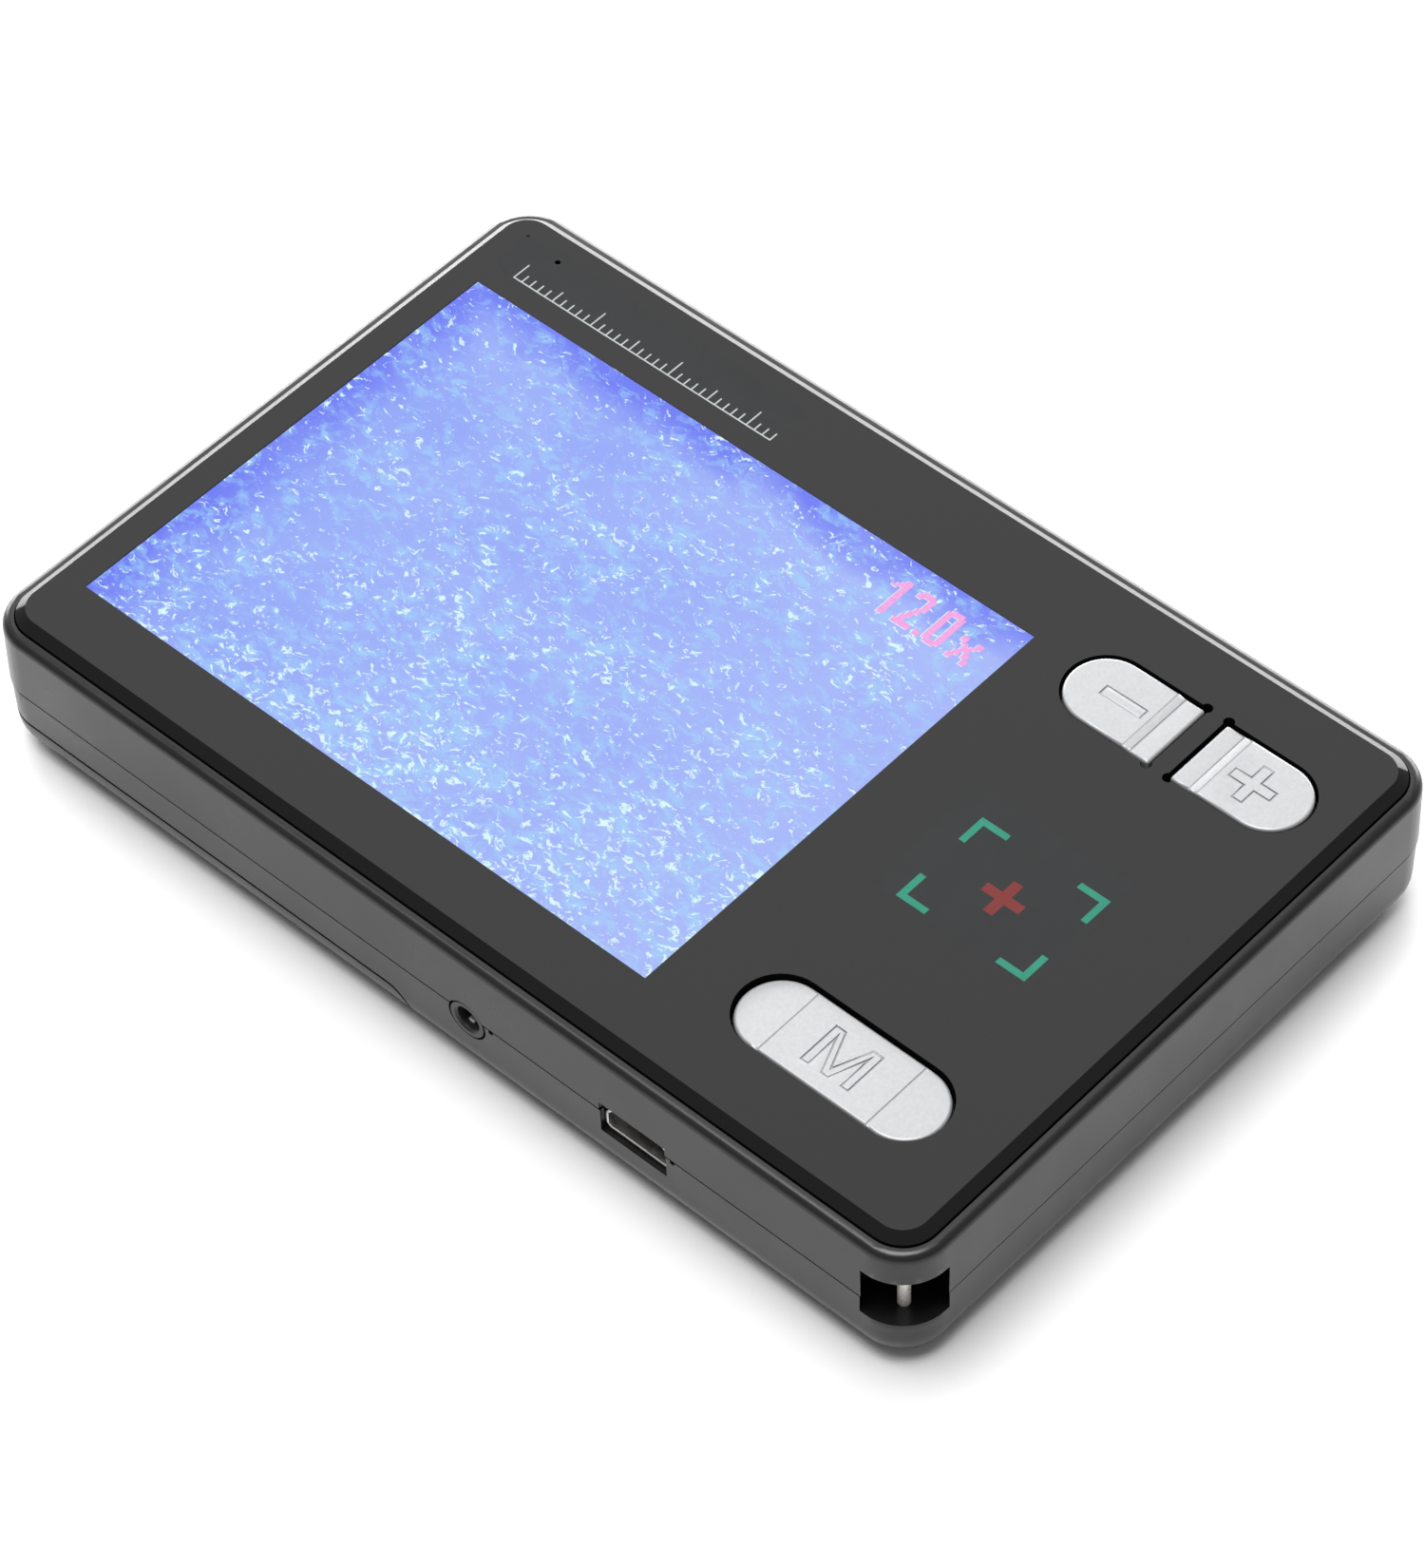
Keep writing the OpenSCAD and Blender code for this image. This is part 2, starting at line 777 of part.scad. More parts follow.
// Memory, power coil, capacitors and crystal on the underside of the board
module board_components() {
    memory = [10, 8, 1];
    crystal = [7, 2.4, 1.2];
    chip_capacitor = [1.6, 0.8, 0.6];
    tall_capacitor = [1.2, 2, 0.7];
    coil_r = 2.6;
    coil_h = 2;
    color(chip_black) {
        hang_at(8, -10, memory);
        hang_at(16, -22, crystal);
        rod(8, 23, board_z - coil_h, board_z, coil_r, 36);
        for (i = [0 : 5])
            hang_at(0.4, -16 + 3.2 * i, chip_capacitor);
        for (i = [0 : 3])
            hang_at(20, 2 + 4.2 * i, tall_capacitor);
    }
}

// Component soldered to the underside of the board
module hang_at(x, y, size) {
    box_at(x, y, board_z - size[2], size);
}

module screw(x, y, z, head_radius, head_height, shank_radius, shank_length) {
    slot_w = head_radius * 0.35;
    slot_l = head_radius * 1.1;
    slot_depth = head_height * 0.45;
    difference() {
        rod(x, y, z, z + head_height, head_radius);
        for (a = [0, 90])
            translate([x, y, z])
                rotate([0, 0, a])
                    cube([slot_l, slot_w, 2 * slot_depth], center = true);
    }
    rod(x, y, z + head_height - eps, z + head_height + shank_length, shank_radius);
}

module board_screws() {
    color(steel)
        for (p = small_screw_pos)
            screw(p[0], p[1], p[2] - small_head_h, small_head_r, small_head_h, small_shank_r, small_shank_l);
}

module housing_screws() {
    color(steel)
        for (p = screw_pos)
            screw(p[0], p[1], screw_z, head_r, head_h, shank_r, shank_l);
}

// ---- Camera --------------------------------------------------------------------------

module camera_board() {
    color(board_green)
        difference() {
            box_at(cam_x, cam_y, cam_board_z, [cam_board_l, cam_board_w, cam_board_t]);
            for (p = small_screw_pos)
                rod(p[0], p[1], 0, body_h, small_shank_r + slip_gap);
        }
}

module image_sensor() {
    color("#2d3340")
        box_at(cam_x, cam_y, cam_board_z - sensor_t, [sensor_l, sensor_l, sensor_t]);
}

// Square foot over the sensor and the threaded tube for the lens barrel
module lens_holder() {
    foot_z = cam_board_z - holder_foot_t;
    color(chip_black)
        difference() {
            union() {
                box_at(cam_x, cam_y, foot_z, [holder_w, holder_w, holder_foot_t]);
                rod(cam_x, cam_y, holder_z, foot_z + slip_gap, holder_tube_r, round_fn);
            }
            box_at(cam_x, cam_y, cam_board_z - sensor_t - 0.3, [sensor_l + 0.4, sensor_l + 0.4, 2]);
            rod(cam_x, cam_y, holder_z - 1, cam_board_z, barrel_r + press_gap, round_fn);
        }
}

module lens_barrel() {
    front_z = holder_z - 0.4;
    cone_h = 0.6;
    color("#151517")
        difference() {
            rod(cam_x, cam_y, front_z, front_z + barrel_l, barrel_r, round_fn);
            rod(cam_x, cam_y, 0, front_z + barrel_l - holder_foot_t + slip_gap, lens_r, round_fn);
            rod(cam_x, cam_y, 0, body_h, stop_r);
            translate([cam_x, cam_y, front_z - eps])
                cylinder(h = cone_h, r1 = lens_r + 0.7, r2 = lens_r, $fn = round_fn);
        }
}

// Biconvex front element, the common part of two balls
module camera_lens() {
    ball_r = 3.4;
    lens_t = 1.5;
    mid_z = holder_z + 0.75;
    color("#9fc4d8")
        intersection() {
            translate([cam_x, cam_y, mid_z + ball_r - lens_t / 2])
                sphere(r = ball_r, $fn = round_fn);
            translate([cam_x, cam_y, mid_z - ball_r + lens_t / 2])
                sphere(r = ball_r, $fn = round_fn);
        }
}

module camera_window() {
    color("#cfe3ea")
        box_at(cam_x, cam_y, bay_h, [window_l, window_w, window_t]);
}

// Four surface-mount lights round the lens
module illumination_leds() {
    led = [3.5, 2.8, 0.8];
    color("#f3e7a6")
        for (sx = [-1, 1], sy = [-1, 1])
            hang_at(cam_x + sx * 8.2, cam_y + sy * 6.2, led);
}

// Ribbon that joins the camera board to the main board beside it
module camera_flex() {
    ribbon(cam_x + cam_board_l / 2, cam_board_z + 0.6, board_top + 0.15, 4.6, 5);
}

// ---- Keys ----------------------------------------------------------------------------

// Side view of a zoom key's cap: a raised face, a short slope and a lower strip at the flat end
module zoom_side(side) {
    flat_x = -side * (zoom_key_l / 2 + 1);
    step_x = -side * (zoom_key_l / 2 - step_l);
    face_x = step_x + side * slope_l;
    tip_x = side * (zoom_key_l / 2 + 1);
    polygon([[flat_x, flange_top - eps], [flat_x, zoom_step], [step_x, zoom_step],
        [face_x, zoom_face], [tip_x, zoom_face], [tip_x, flange_top - eps]]);
}

module zoom_key(side) {
    translate([keys_x + side * key_offset, zoom_y, 0]) {
        translate([0, 0, flange_z])
            linear_extrude(flange_t)
                zoom_plan(side, -0.1);
        translate([0, 0, flange_z])
            linear_extrude(flange_t)
                zoom_flange_plan(side);
        difference() {
            intersection() {
                translate([0, 0, flange_top - eps])
                    linear_extrude(body_h)
                        zoom_plan(side);
                translate([0, body_w / 2, 0])
                    rotate([90, 0, 0])
                        linear_extrude(body_w)
                            zoom_side(side);
            }
            translate([side * glyph_shift, 0, zoom_face - glyph_depth])
                linear_extrude(1)
                    zoom_glyph(side);
        }
    }
}

// The flange stops short of the bar, so the two zoom keys clear each other
module zoom_flange_plan(side) {
    intersection() {
        zoom_plan(side, key_gap + flange_over);
        translate([side * (zoom_key_l / 2 - 0.2 * zoom_bar), 0])
            square([2 * zoom_key_l, 4 * key_w], center = true);
    }
}

// Outline of a bar, and of a cross on the plus key
module zoom_glyph(side) {
    difference() {
        zoom_glyph_solid(side, 0);
        zoom_glyph_solid(side, glyph_line);
    }
}

module zoom_glyph_solid(side, inset) {
    square([bar_l - 2 * inset, bar_w - 2 * inset], center = true);
    if (side > 0)
        square([bar_w - 2 * inset, bar_l - 2 * inset], center = true);
}

module minus_key() {
    color(key_silver)
        zoom_key(-1);
}

module plus_key() {
    color(key_silver)
        zoom_key(1);
}

// Side view of the mode key's cap: level in the middle, falling away to both tips
module mode_side() {
    tip_drop = 0.2;
    fold_x = 6.1;
    tip_x = mode_l / 2;
    polygon([[-tip_x, flange_top - eps], [-tip_x, mode_face - tip_drop], [-fold_x, mode_face],
        [fold_x, mode_face], [tip_x, mode_face - tip_drop], [tip_x, flange_top - eps]]);
}

// Outline of the letter M, anticlockwise
m_half_w = 2.75;
m_half_h = 2.4;
m_outline = [
    [-m_half_w, -m_half_h], [-1.75, -m_half_h], [-1.75, 0.95], [-0.45, -m_half_h], [0.45, -m_half_h],
    [1.75, 0.95], [1.75, -m_half_h], [m_half_w, -m_half_h], [m_half_w, m_half_h], [1.5, m_half_h],
    [0, -1.2], [-1.5, m_half_h], [-m_half_w, m_half_h]];

// An anticlockwise outline moved inwards by d
function inset_outline(points, d) = [
    for (i = [0 : len(points) - 1])
        let (
            last = points[(i + len(points) - 1) % len(points)],
            here = points[i],
            next = points[(i + 1) % len(points)],
            u = (here - last) / norm(here - last),
            v = (next - here) / norm(next - here))
        here + [-u[1] - v[1], u[0] + v[0]] * d / (1 + u * v)];

module mode_key() {
    color(key_silver)
        translate([keys_x, mode_y, 0]) {
            translate([0, 0, flange_z])
                linear_extrude(flange_t)
                    mode_plan(key_gap + flange_over);
            difference() {
                intersection() {
                    translate([0, 0, flange_top - eps])
                        linear_extrude(body_h)
                            mode_plan();
                    translate([0, body_w / 2, 0])
                        rotate([90, 0, 0])
                            linear_extrude(body_w)
                                mode_side();
                }
                translate([0, 0, mode_face - glyph_depth])
                    linear_extrude(1)
                        difference() {
                            polygon(m_outline);
                            polygon(inset_outline(m_outline, glyph_line));
                        }
            }
        }
}

key_centres = [[keys_x - key_offset, zoom_y], [keys_x + key_offset, zoom_y], [keys_x, mode_y]];

module switch_stem(c) {
    color("#e9e6dc")
        rod(c[0], c[1], stem_z, flange_z, stem_r);
}

module minus_switch_stem() {
    switch_stem(key_centres[0]);
}

module plus_switch_stem() {
    switch_stem(key_centres[1]);
}

module mode_switch_stem() {
    switch_stem(key_centres[2]);
}

// Bodies of the three switches, each with the well that its stem sinks into
module key_switches() {
    color(steel)
        for (c = key_centres)
            difference() {
                box_at(c[0], c[1], board_top, [switch_w, switch_w, switch_h]);
                rod(c[0], c[1], board_top - 1, board_top + 5, stem_r + 0.15);
            }
}

// ---- Battery -------------------------------------------------------------------------

pack_x0 = well_x0 + well_wall + 0.4;

module battery_pack() {
    pack_corner_r = 1.5;
    color("#3d5a86")
        translate([pack_x0 + pack_l / 2, 0, 0])
            round_plate(pack_l, pack_w, pack_corner_r, pack_z, pack_z + pack_t);
}

block_x1 = well_x1 - well_wall - slip_gap / 2;
contact_ys = [-4.5, 0, 4.5];

module contact_block() {
    block_w = 16;
    block_l = 3.6;
    mouth = [1.8, 1.4, 3];
    color(chip_black)
        difference() {
            box_between([block_x1 - block_l, -block_w / 2, 2.6],
                [block_x1, block_w / 2, well_top - well_lid - slip_gap]);
            for (y = contact_ys)
                box_at(block_x1 - 3.2, y, 3.4, mouth);
        }
}

// Three bent leaf springs that press on the end of the battery
module battery_contacts() {
    nose_x = pack_x0 + pack_l + slip_gap;
    root_x = block_x1 - 2.5;
    leaf_t = 0.4;
    leaf_w = 1;
    low_z = 3.5;
    high_z = 6.3;
    mid_z = (low_z + high_z) / 2;
    color(gold)
        for (y = contact_ys)
            translate([0, y + leaf_w / 2, 0])
                rotate([90, 0, 0])
                    linear_extrude(leaf_w)
                        polygon([[root_x, low_z], [nose_x, mid_z - 0.3], [nose_x, mid_z + 0.3],
                            [root_x, high_z], [root_x, high_z - leaf_t], [nose_x + leaf_t, mid_z],
                            [root_x, low_z + leaf_t]]);
}

// ---- Sockets and lanyard -------------------------------------------------------------

module jack_body() {
    block_y = jack_face + bush_l;
    slot_x = jack_x + 1;
    chamfer = 0.4;
    color(chip_black)
        difference() {
            union() {
                translate([jack_x, block_y, jack_z])
                    rotate([90, 0, 0])
                        cylinder(h = bush_l, r = bush_r, $fn = bore_fn);
                box_between([jack_x - jack_block_w / 2, block_y - slip_gap, jack_z - jack_block_h / 2],
                    [jack_x + jack_block_w / 2, block_y + jack_block_l - slip_gap, jack_z + jack_block_h / 2]);
            }
            translate([jack_x, jack_face + jack_bore_l, jack_z])
                rotate([90, 0, 0])
                    cylinder(h = jack_bore_l + 1, r = jack_bore_r, $fn = bore_fn);
            translate([jack_x, jack_face + chamfer - 0.15, jack_z])
                rotate([90, 0, 0])
                    cylinder(h = chamfer, r1 = jack_bore_r, r2 = jack_bore_r + chamfer, $fn = bore_fn);
            box_between([slot_x, block_y + 0.2, jack_z - 0.5], [slot_x + 1, block_y + 6.5, jack_z + 0.5]);
        }
}

// Leaf contact in the slot beside the jack bore
module jack_contact() {
    leaf_x = jack_x + 1.4;
    leaf_y = jack_face + bush_l + 0.5;
    leaf_l = 5.7;
    color(gold)
        box_between([leaf_x, leaf_y, jack_z - 0.4], [leaf_x + 0.3, leaf_y + leaf_l, jack_z + 0.4]);
}

// Right half of the mini USB outline seen from the front, wide below and narrow above; t insets it
function usb_half(t) = [
    [usb_low_w / 2 - usb_chamfer - t * 0.6, usb_z0 + t], [usb_low_w / 2 - t, usb_z0 + usb_chamfer],
    [usb_low_w / 2 - t, usb_z0 + usb_flare_h - t * 0.4], [usb_high_w / 2 - t, usb_z0 + usb_neck_h - t * 0.4],
    [usb_high_w / 2 - t, usb_z0 + usb_h - t]];

module usb_bar(t, y0, y1) {
    half = usb_half(t);
    translate([usb_x, y1, 0])
        rotate([90, 0, 0])
            linear_extrude(y1 - y0)
                polygon(concat(half, [for (i = [len(half) - 1 : -1 : 0]) [-half[i][0], half[i][1]]]));
}

module usb_shell() {
    color(steel)
        difference() {
            usb_bar(0, usb_face, usb_face + usb_depth);
            usb_bar(usb_metal, usb_face - 1, usb_face + usb_depth + 1);
        }
}

tongue_y = usb_face + usb_depth - usb_back_l - 2.1;

// Moulded back and tongue inside the metal shell
module usb_insulator() {
    back_y = usb_face + usb_depth - 0.2;
    color(chip_black) {
        usb_bar(usb_metal + 0.03, back_y - usb_back_l, back_y);
        box_at(usb_x, tongue_y, usb_tongue_z, [usb_tongue_w, usb_tongue_l, usb_tongue_t]);
    }
}

module usb_contacts() {
    pitch = 0.8;
    strip = [0.36, 3.7, 0.12];
    color(gold)
        for (i = [-2 : 2])
            box_at(usb_x + pitch * i, tongue_y, usb_tongue_z + usb_tongue_t, strip);
}

module lanyard_pin() {
    color(steel)
        rod(pocket_x, pocket_y, pin_z0, pin_z1, lanyard_pin_r);
}

// ---- Status light --------------------------------------------------------------------

module status_led() {
    led = [1.6, 0.8, 0.3];
    color("#d9ead0")
        box_at(light_x + 1.5, light_y - slip_gap, board_top, led);
}

module light_pipe() {
    color("#dfe6e8")
        rod(light_x, light_y, module_z, print_z - slip_gap, light_pipe_r, 24);
}

upper_housing();
lower_housing();
battery_cover();
front_panel();
panel_print();
target_frame_print();
target_cross_print();
panel_adhesive();
display_glass();
display_frame();
display_flex();
flex_connector();
main_board();
main_processor();
board_components();
board_screws();
camera_board();
image_sensor();
lens_holder();
lens_barrel();
camera_lens();
camera_window();
illumination_leds();
camera_flex();
minus_key();
plus_key();
mode_key();
minus_switch_stem();
plus_switch_stem();
mode_switch_stem();
key_switches();
battery_pack();
contact_block();
battery_contacts();
jack_body();
jack_contact();
usb_shell();
usb_insulator();
usb_contacts();
lanyard_pin();
status_led();
light_pipe();
housing_screws();
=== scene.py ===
import math

import bmesh
import bpy
from mathutils import Matrix, Vector


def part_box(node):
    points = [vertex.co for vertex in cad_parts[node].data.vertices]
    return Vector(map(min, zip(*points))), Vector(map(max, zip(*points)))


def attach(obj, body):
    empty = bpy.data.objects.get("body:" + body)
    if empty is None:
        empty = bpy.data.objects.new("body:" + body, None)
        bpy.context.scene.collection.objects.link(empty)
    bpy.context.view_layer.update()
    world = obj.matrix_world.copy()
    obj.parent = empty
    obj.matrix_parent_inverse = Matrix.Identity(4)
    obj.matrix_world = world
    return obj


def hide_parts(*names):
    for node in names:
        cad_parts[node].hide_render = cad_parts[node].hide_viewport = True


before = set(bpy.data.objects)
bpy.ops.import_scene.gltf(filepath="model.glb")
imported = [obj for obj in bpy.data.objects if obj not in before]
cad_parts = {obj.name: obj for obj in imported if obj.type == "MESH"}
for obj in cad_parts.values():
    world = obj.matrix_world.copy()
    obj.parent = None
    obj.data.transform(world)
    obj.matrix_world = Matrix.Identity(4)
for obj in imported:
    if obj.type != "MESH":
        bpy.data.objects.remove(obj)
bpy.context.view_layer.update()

MM = 0.001

# ---- Camera, lights and floor --------------------------------------------------------

CAMERA_AT = Vector((237.63, -248.21, 409.06)) * MM
CAMERA_AIM = Vector((7.80, -7.13, 15.5)) * MM
CAMERA_ROLL = math.radians(-2.02)
LENS_MM = 133.22
SENSOR_MM = 36
WORLD_LIGHT = 0.28
FLOOR_HALF_M = 8.0


def aimed(position, aim, roll=0.0):
    """A matrix at position whose -Z looks at aim, turned by roll about its own view."""
    turn = (aim - position).to_track_quat("-Z", "Y").to_matrix().to_4x4()
    return Matrix.Translation(position) @ turn @ Matrix.Rotation(roll, 4, "Z")


def make_camera():
    """A long lens above the near side of the key end."""
    data = bpy.data.cameras.new("camera")
    data.lens = LENS_MM
    data.sensor_width = SENSOR_MM
    data.clip_start = 0.01
    data.clip_end = 100
    camera = bpy.data.objects.new("camera", data)
    bpy.context.scene.collection.objects.link(camera)
    camera.matrix_world = aimed(CAMERA_AT, CAMERA_AIM, CAMERA_ROLL)
    bpy.context.scene.camera = camera


def softbox(name, position, aim, width, height, radiance):
    """A rectangular light of an even radiance, which its power follows from."""
    data = bpy.data.lights.new(name, "AREA")
    data.shape = "RECTANGLE"
    data.size = width
    data.size_y = height
    data.energy = radiance * math.pi * width * height
    light = bpy.data.objects.new(name, data)
    bpy.context.scene.collection.objects.link(light)
    light.matrix_world = aimed(Vector(position), Vector(aim))


def make_lights():
    """One light from above, one that the sheet mirrors, and two low wide ones for the far edges."""
    softbox("top_light", (-0.05, -0.10, 1.25), (0, 0, 0), 0.80, 0.80, 9.0)
    softbox("back_light", (-0.66, 0.70, 1.13), (0, 0, 0), 0.62, 0.62, 1.10)
    softbox("low_back_light", (-0.60, 1.15, 0.30), (-0.10, 0.10, 0), 1.60, 0.58, 9.0)
    softbox("low_left_light", (-1.25, 0.62, 0.30), (-0.10, 0.05, 0), 1.20, 0.58, 9.0)


def make_world():
    """An even white surround that fills the shadows."""
    world = bpy.data.worlds.new("studio")
    bpy.context.scene.world = world
    world.use_nodes = True
    world.node_tree.nodes["Background"].inputs["Color"].default_value = (1, 1, 1, 1)
    world.node_tree.nodes["Background"].inputs["Strength"].default_value = WORLD_LIGHT


def make_floor():
    """A plain pale floor."""
    bm = bmesh.new()
    bmesh.ops.create_grid(bm, x_segments=1, y_segments=1, size=FLOOR_HALF_M)
    mesh = bpy.data.meshes.new("floor")
    bm.to_mesh(mesh)
    bm.free()
    floor = bpy.data.objects.new("floor", mesh)
    bpy.context.scene.collection.objects.link(floor)
    floor.data.materials.append(surface("floor_paper", (0.86, 0.86, 0.86), 0.32, mottle=0.01, mottle_mm=40))


# ---- Materials -----------------------------------------------------------------------

DUST_CELL_MM = 4.5
DUST_EDGE = 0.022
DUST_COLOUR = (0.5, 0.5, 0.5)
SHEET_IOR = 1.49
# The Z of a face's normal: below the first the face looks down, within the second it is upright.
LEVEL_FACING_DOWN = -0.02
UPRIGHT_BELOW = 0.05
GLASS_ROUGH = 0.10
# Room round what shows through the sheet, in X and Y: before its low corner, after its high one.
PICTURE_ROOM = ((-2.1, 1.6), (1.6, -2.0))
PRINT_ROOM = ((1.5, 1.5), (1.5, 1.5))
PIPE_ROOM = ((0.1, 1.4), (1.4, -0.6))


def nodes_of(name):
    """A new material's node tree, emptied but for its output, and a function that adds nodes to it."""
    made = bpy.data.materials.new(name)
    made.use_nodes = True
    tree = made.node_tree
    tree.nodes.clear()
    output = tree.nodes.new("ShaderNodeOutputMaterial")

    def add(kind, links=(), **values):
        """A node with its properties and sockets set. links gives (input, output socket) pairs."""
        node = tree.nodes.new(kind)
        for key, value in values.items():
            if hasattr(node, key):
                setattr(node, key, value)
        for key, value in values.items():
            if not hasattr(node, key):
                node.inputs[key.replace("_", " ")].default_value = value
        for socket, source in links:
            tree.links.new(source, node.inputs[socket])
        return node

    return made, tree, output, add


def noise(add, size_mm, detail=2.0, roughness=0.5, distortion=0.0, vector=None):
    """Noise whose cells are about size_mm across, in the row frame."""
    source = vector or add("ShaderNodeTexCoord").outputs["Object"]
    node = add("ShaderNodeTexNoise", [("Vector", source)])
    node.inputs["Scale"].default_value = 1 / (size_mm * MM)
    node.inputs["Detail"].default_value = detail
    node.inputs["Roughness"].default_value = roughness
    node.inputs["Distortion"].default_value = distortion
    return node.outputs["Fac"]


def ramp(add, source, *stops):
    """A colour ramp through stops of (position, colour or grey)."""
    node = add("ShaderNodeValToRGB", [("Fac", source)])
    points = node.color_ramp.elements
    while len(points) < len(stops):
        points.new(0.5)
    for point, (position, colour) in zip(points, stops):
        point.position = position
        grey = isinstance(colour, (int, float))
        point.color = (colour, colour, colour, 1) if grey else (*colour, 1)
    return node.outputs["Color"]


def remap(add, source, low, high, out_low, out_high):
    """A value carried from one range to another, and held at its ends."""
    node = add("ShaderNodeMapRange", [("Value", source)])
    for socket, value in zip(("From Min", "From Max", "To Min", "To Max"), (low, high, out_low, out_high)):
        node.inputs[socket].default_value = value
    return node.outputs["Result"]


def mix(add, factor, a, b):
    """Colour a turning to b with factor; a and b are sockets or colours."""
    node = add("ShaderNodeMix", [("Factor", factor)], data_type="RGBA")
    for socket, value in ((node.inputs[6], a), (node.inputs[7], b)):
        if isinstance(value, bpy.types.NodeSocket):
            node.id_data.links.new(value, socket)
        else:
            socket.default_value = (*value, 1)
    return node.outputs[2]


def surface(name, colour, rough, metal=0.0, ior=1.5, mottle=0.08, mottle_mm=6.0, rough_spread=0.04,
            grain_mm=0.0, grain_depth_mm=0.0, specks=0.0):
    """An opaque finish: colour that varies a little, uneven sheen, moulded or sprayed grain, and dust."""
    made, tree, output, add = nodes_of(name)
    base = ramp(add, noise(add, mottle_mm, 4.0), (0.3, colour_range(colour, 1 - mottle)),
                (0.7, colour_range(colour, 1 + mottle)))
    if specks:
        cells = add("ShaderNodeTexVoronoi", [("Vector", add("ShaderNodeTexCoord").outputs["Object"])])
        cells.inputs["Scale"].default_value = 1 / (DUST_CELL_MM * MM)
        dust = ramp(add, cells.outputs["Distance"], (0.0, specks), (DUST_EDGE, 0.0))
        base = mix(add, dust, base, DUST_COLOUR)
    shader = add("ShaderNodeBsdfPrincipled", [("Base Color", base)], Metallic=metal, IOR=ior)
    sheen = remap(add, noise(add, mottle_mm * 0.6, 3.0), 0.3, 0.7, rough - rough_spread, rough + rough_spread)
    tree.links.new(sheen, shader.inputs["Roughness"])
    if grain_mm:
        bump = add("ShaderNodeBump", [("Height", noise(add, grain_mm, 2.0))], Strength=1.0)
        bump.inputs["Distance"].default_value = grain_depth_mm * MM
        tree.links.new(bump.outputs["Normal"], shader.inputs["Normal"])
    tree.links.new(shader.outputs[0], output.inputs["Surface"])
    return made


def colour_range(colour, factor):
    """A colour made lighter or darker by a factor."""
    return tuple(min(1.0, c * factor) for c in colour)


def maths(add, operation, *terms):
    """One arithmetic node; each term is a socket or a number."""
    node = add("ShaderNodeMath", operation=operation)
    for socket, term in zip(node.inputs, terms):
        if isinstance(term, bpy.types.NodeSocket):
            node.id_data.links.new(term, socket)
        else:
            socket.default_value = term
    return node.outputs[0]


def smears(add):
    """The faint unevenness of a polished face, as a roughness."""
    return remap(add, noise(add, 14.0, 3.0), 0.35, 0.65, 0.045, 0.065)


def clear_sheet(name, tint, ior=SHEET_IOR):
    """A clear polished piece: what is behind it shows, under the gloss of its outer face."""
    made, tree, output, add = nodes_of(name)
    gloss = add("ShaderNodeBsdfGlossy", [("Roughness", smears(add))])
    clear = add("ShaderNodeBsdfTransparent")
    clear.inputs["Color"].default_value = (*tint, 1)
    inside = add("ShaderNodeNewGeometry").outputs["Backfacing"]
    outer = maths(add, "SUBTRACT", 1.0, inside)
    mirrored = maths(add, "MULTIPLY", add("ShaderNodeFresnel", IOR=ior).outputs[0], outer)
    both = add("ShaderNodeMixShader", [(0, mirrored), (1, clear.outputs[0]), (2, gloss.outputs[0])])
    tree.links.new(both.outputs[0], output.inputs["Surface"])
    return made


def within(add, place, low, high):
    """1 inside a rectangle of the level plane, given by its corners in millimetres, and 0 outside."""
    here = 1.0
    for axis in (0, 1):
        off = maths(add, "SUBTRACT", place.outputs[axis], (low[axis] + high[axis]) / 2 * MM)
        half = (high[axis] - low[axis]) / 2 * MM
        here = maths(add, "MULTIPLY", here, maths(add, "LESS_THAN", maths(add, "ABSOLUTE", off), half))
    return here


def backed_sheet(name, tint, rectangles):
    """A clear sheet backed with black paint all over but for the rectangles given.

    Outside them it is black under a gloss. Inside them it only tints what is below, and the prints
    and the display there carry the sheen. Light on its way up passes. The upright faces are black.
    """
    made, tree, output, add = nodes_of(name)
    geometry = add("ShaderNodeNewGeometry")
    normal = add("ShaderNodeSeparateXYZ", [("Vector", geometry.outputs["True Normal"])])
    place = add("ShaderNodeSeparateXYZ", [("Vector", add("ShaderNodeTexCoord").outputs["Object"])])
    from_below = maths(add, "LESS_THAN", normal.outputs["Z"], LEVEL_FACING_DOWN)
    clear_here = maths(add, "MAXIMUM", geometry.outputs["Backfacing"], from_below)
    for low, high in rectangles:
        clear_here = maths(add, "MAXIMUM", clear_here, within(add, place, low, high))
    backed = add("ShaderNodeBsdfPrincipled", [("Roughness", smears(add))], IOR=SHEET_IOR)
    backed.inputs["Base Color"].default_value = (0.005, 0.005, 0.0055, 1)
    backed.inputs["Specular IOR Level"].default_value = 0.44
    clear = add("ShaderNodeBsdfTransparent")
    clear.inputs["Color"].default_value = (*tint, 1)
    level = add("ShaderNodeMixShader", [(0, clear_here), (1, backed.outputs[0]), (2, clear.outputs[0])])
    paint = add("ShaderNodeBsdfDiffuse")
    paint.inputs["Color"].default_value = (0.006, 0.006, 0.0065, 1)
    upright = maths(add, "LESS_THAN", maths(add, "ABSOLUTE", normal.outputs["Z"]), UPRIGHT_BELOW)
    result = add("ShaderNodeMixShader", [(0, upright), (1, level.outputs[0]), (2, paint.outputs[0])])
    tree.links.new(result.outputs[0], output.inputs["Surface"])
    return made


def along(add, axis, low_mm, high_mm, out_low=0.0, out_high=1.0):
    """A value that runs with one coordinate of the row frame."""
    split = add("ShaderNodeSeparateXYZ", [("Vector", add("ShaderNodeTexCoord").outputs["Object"])])
    return remap(add, split.outputs[axis], low_mm * MM, high_mm * MM, out_low, out_high)


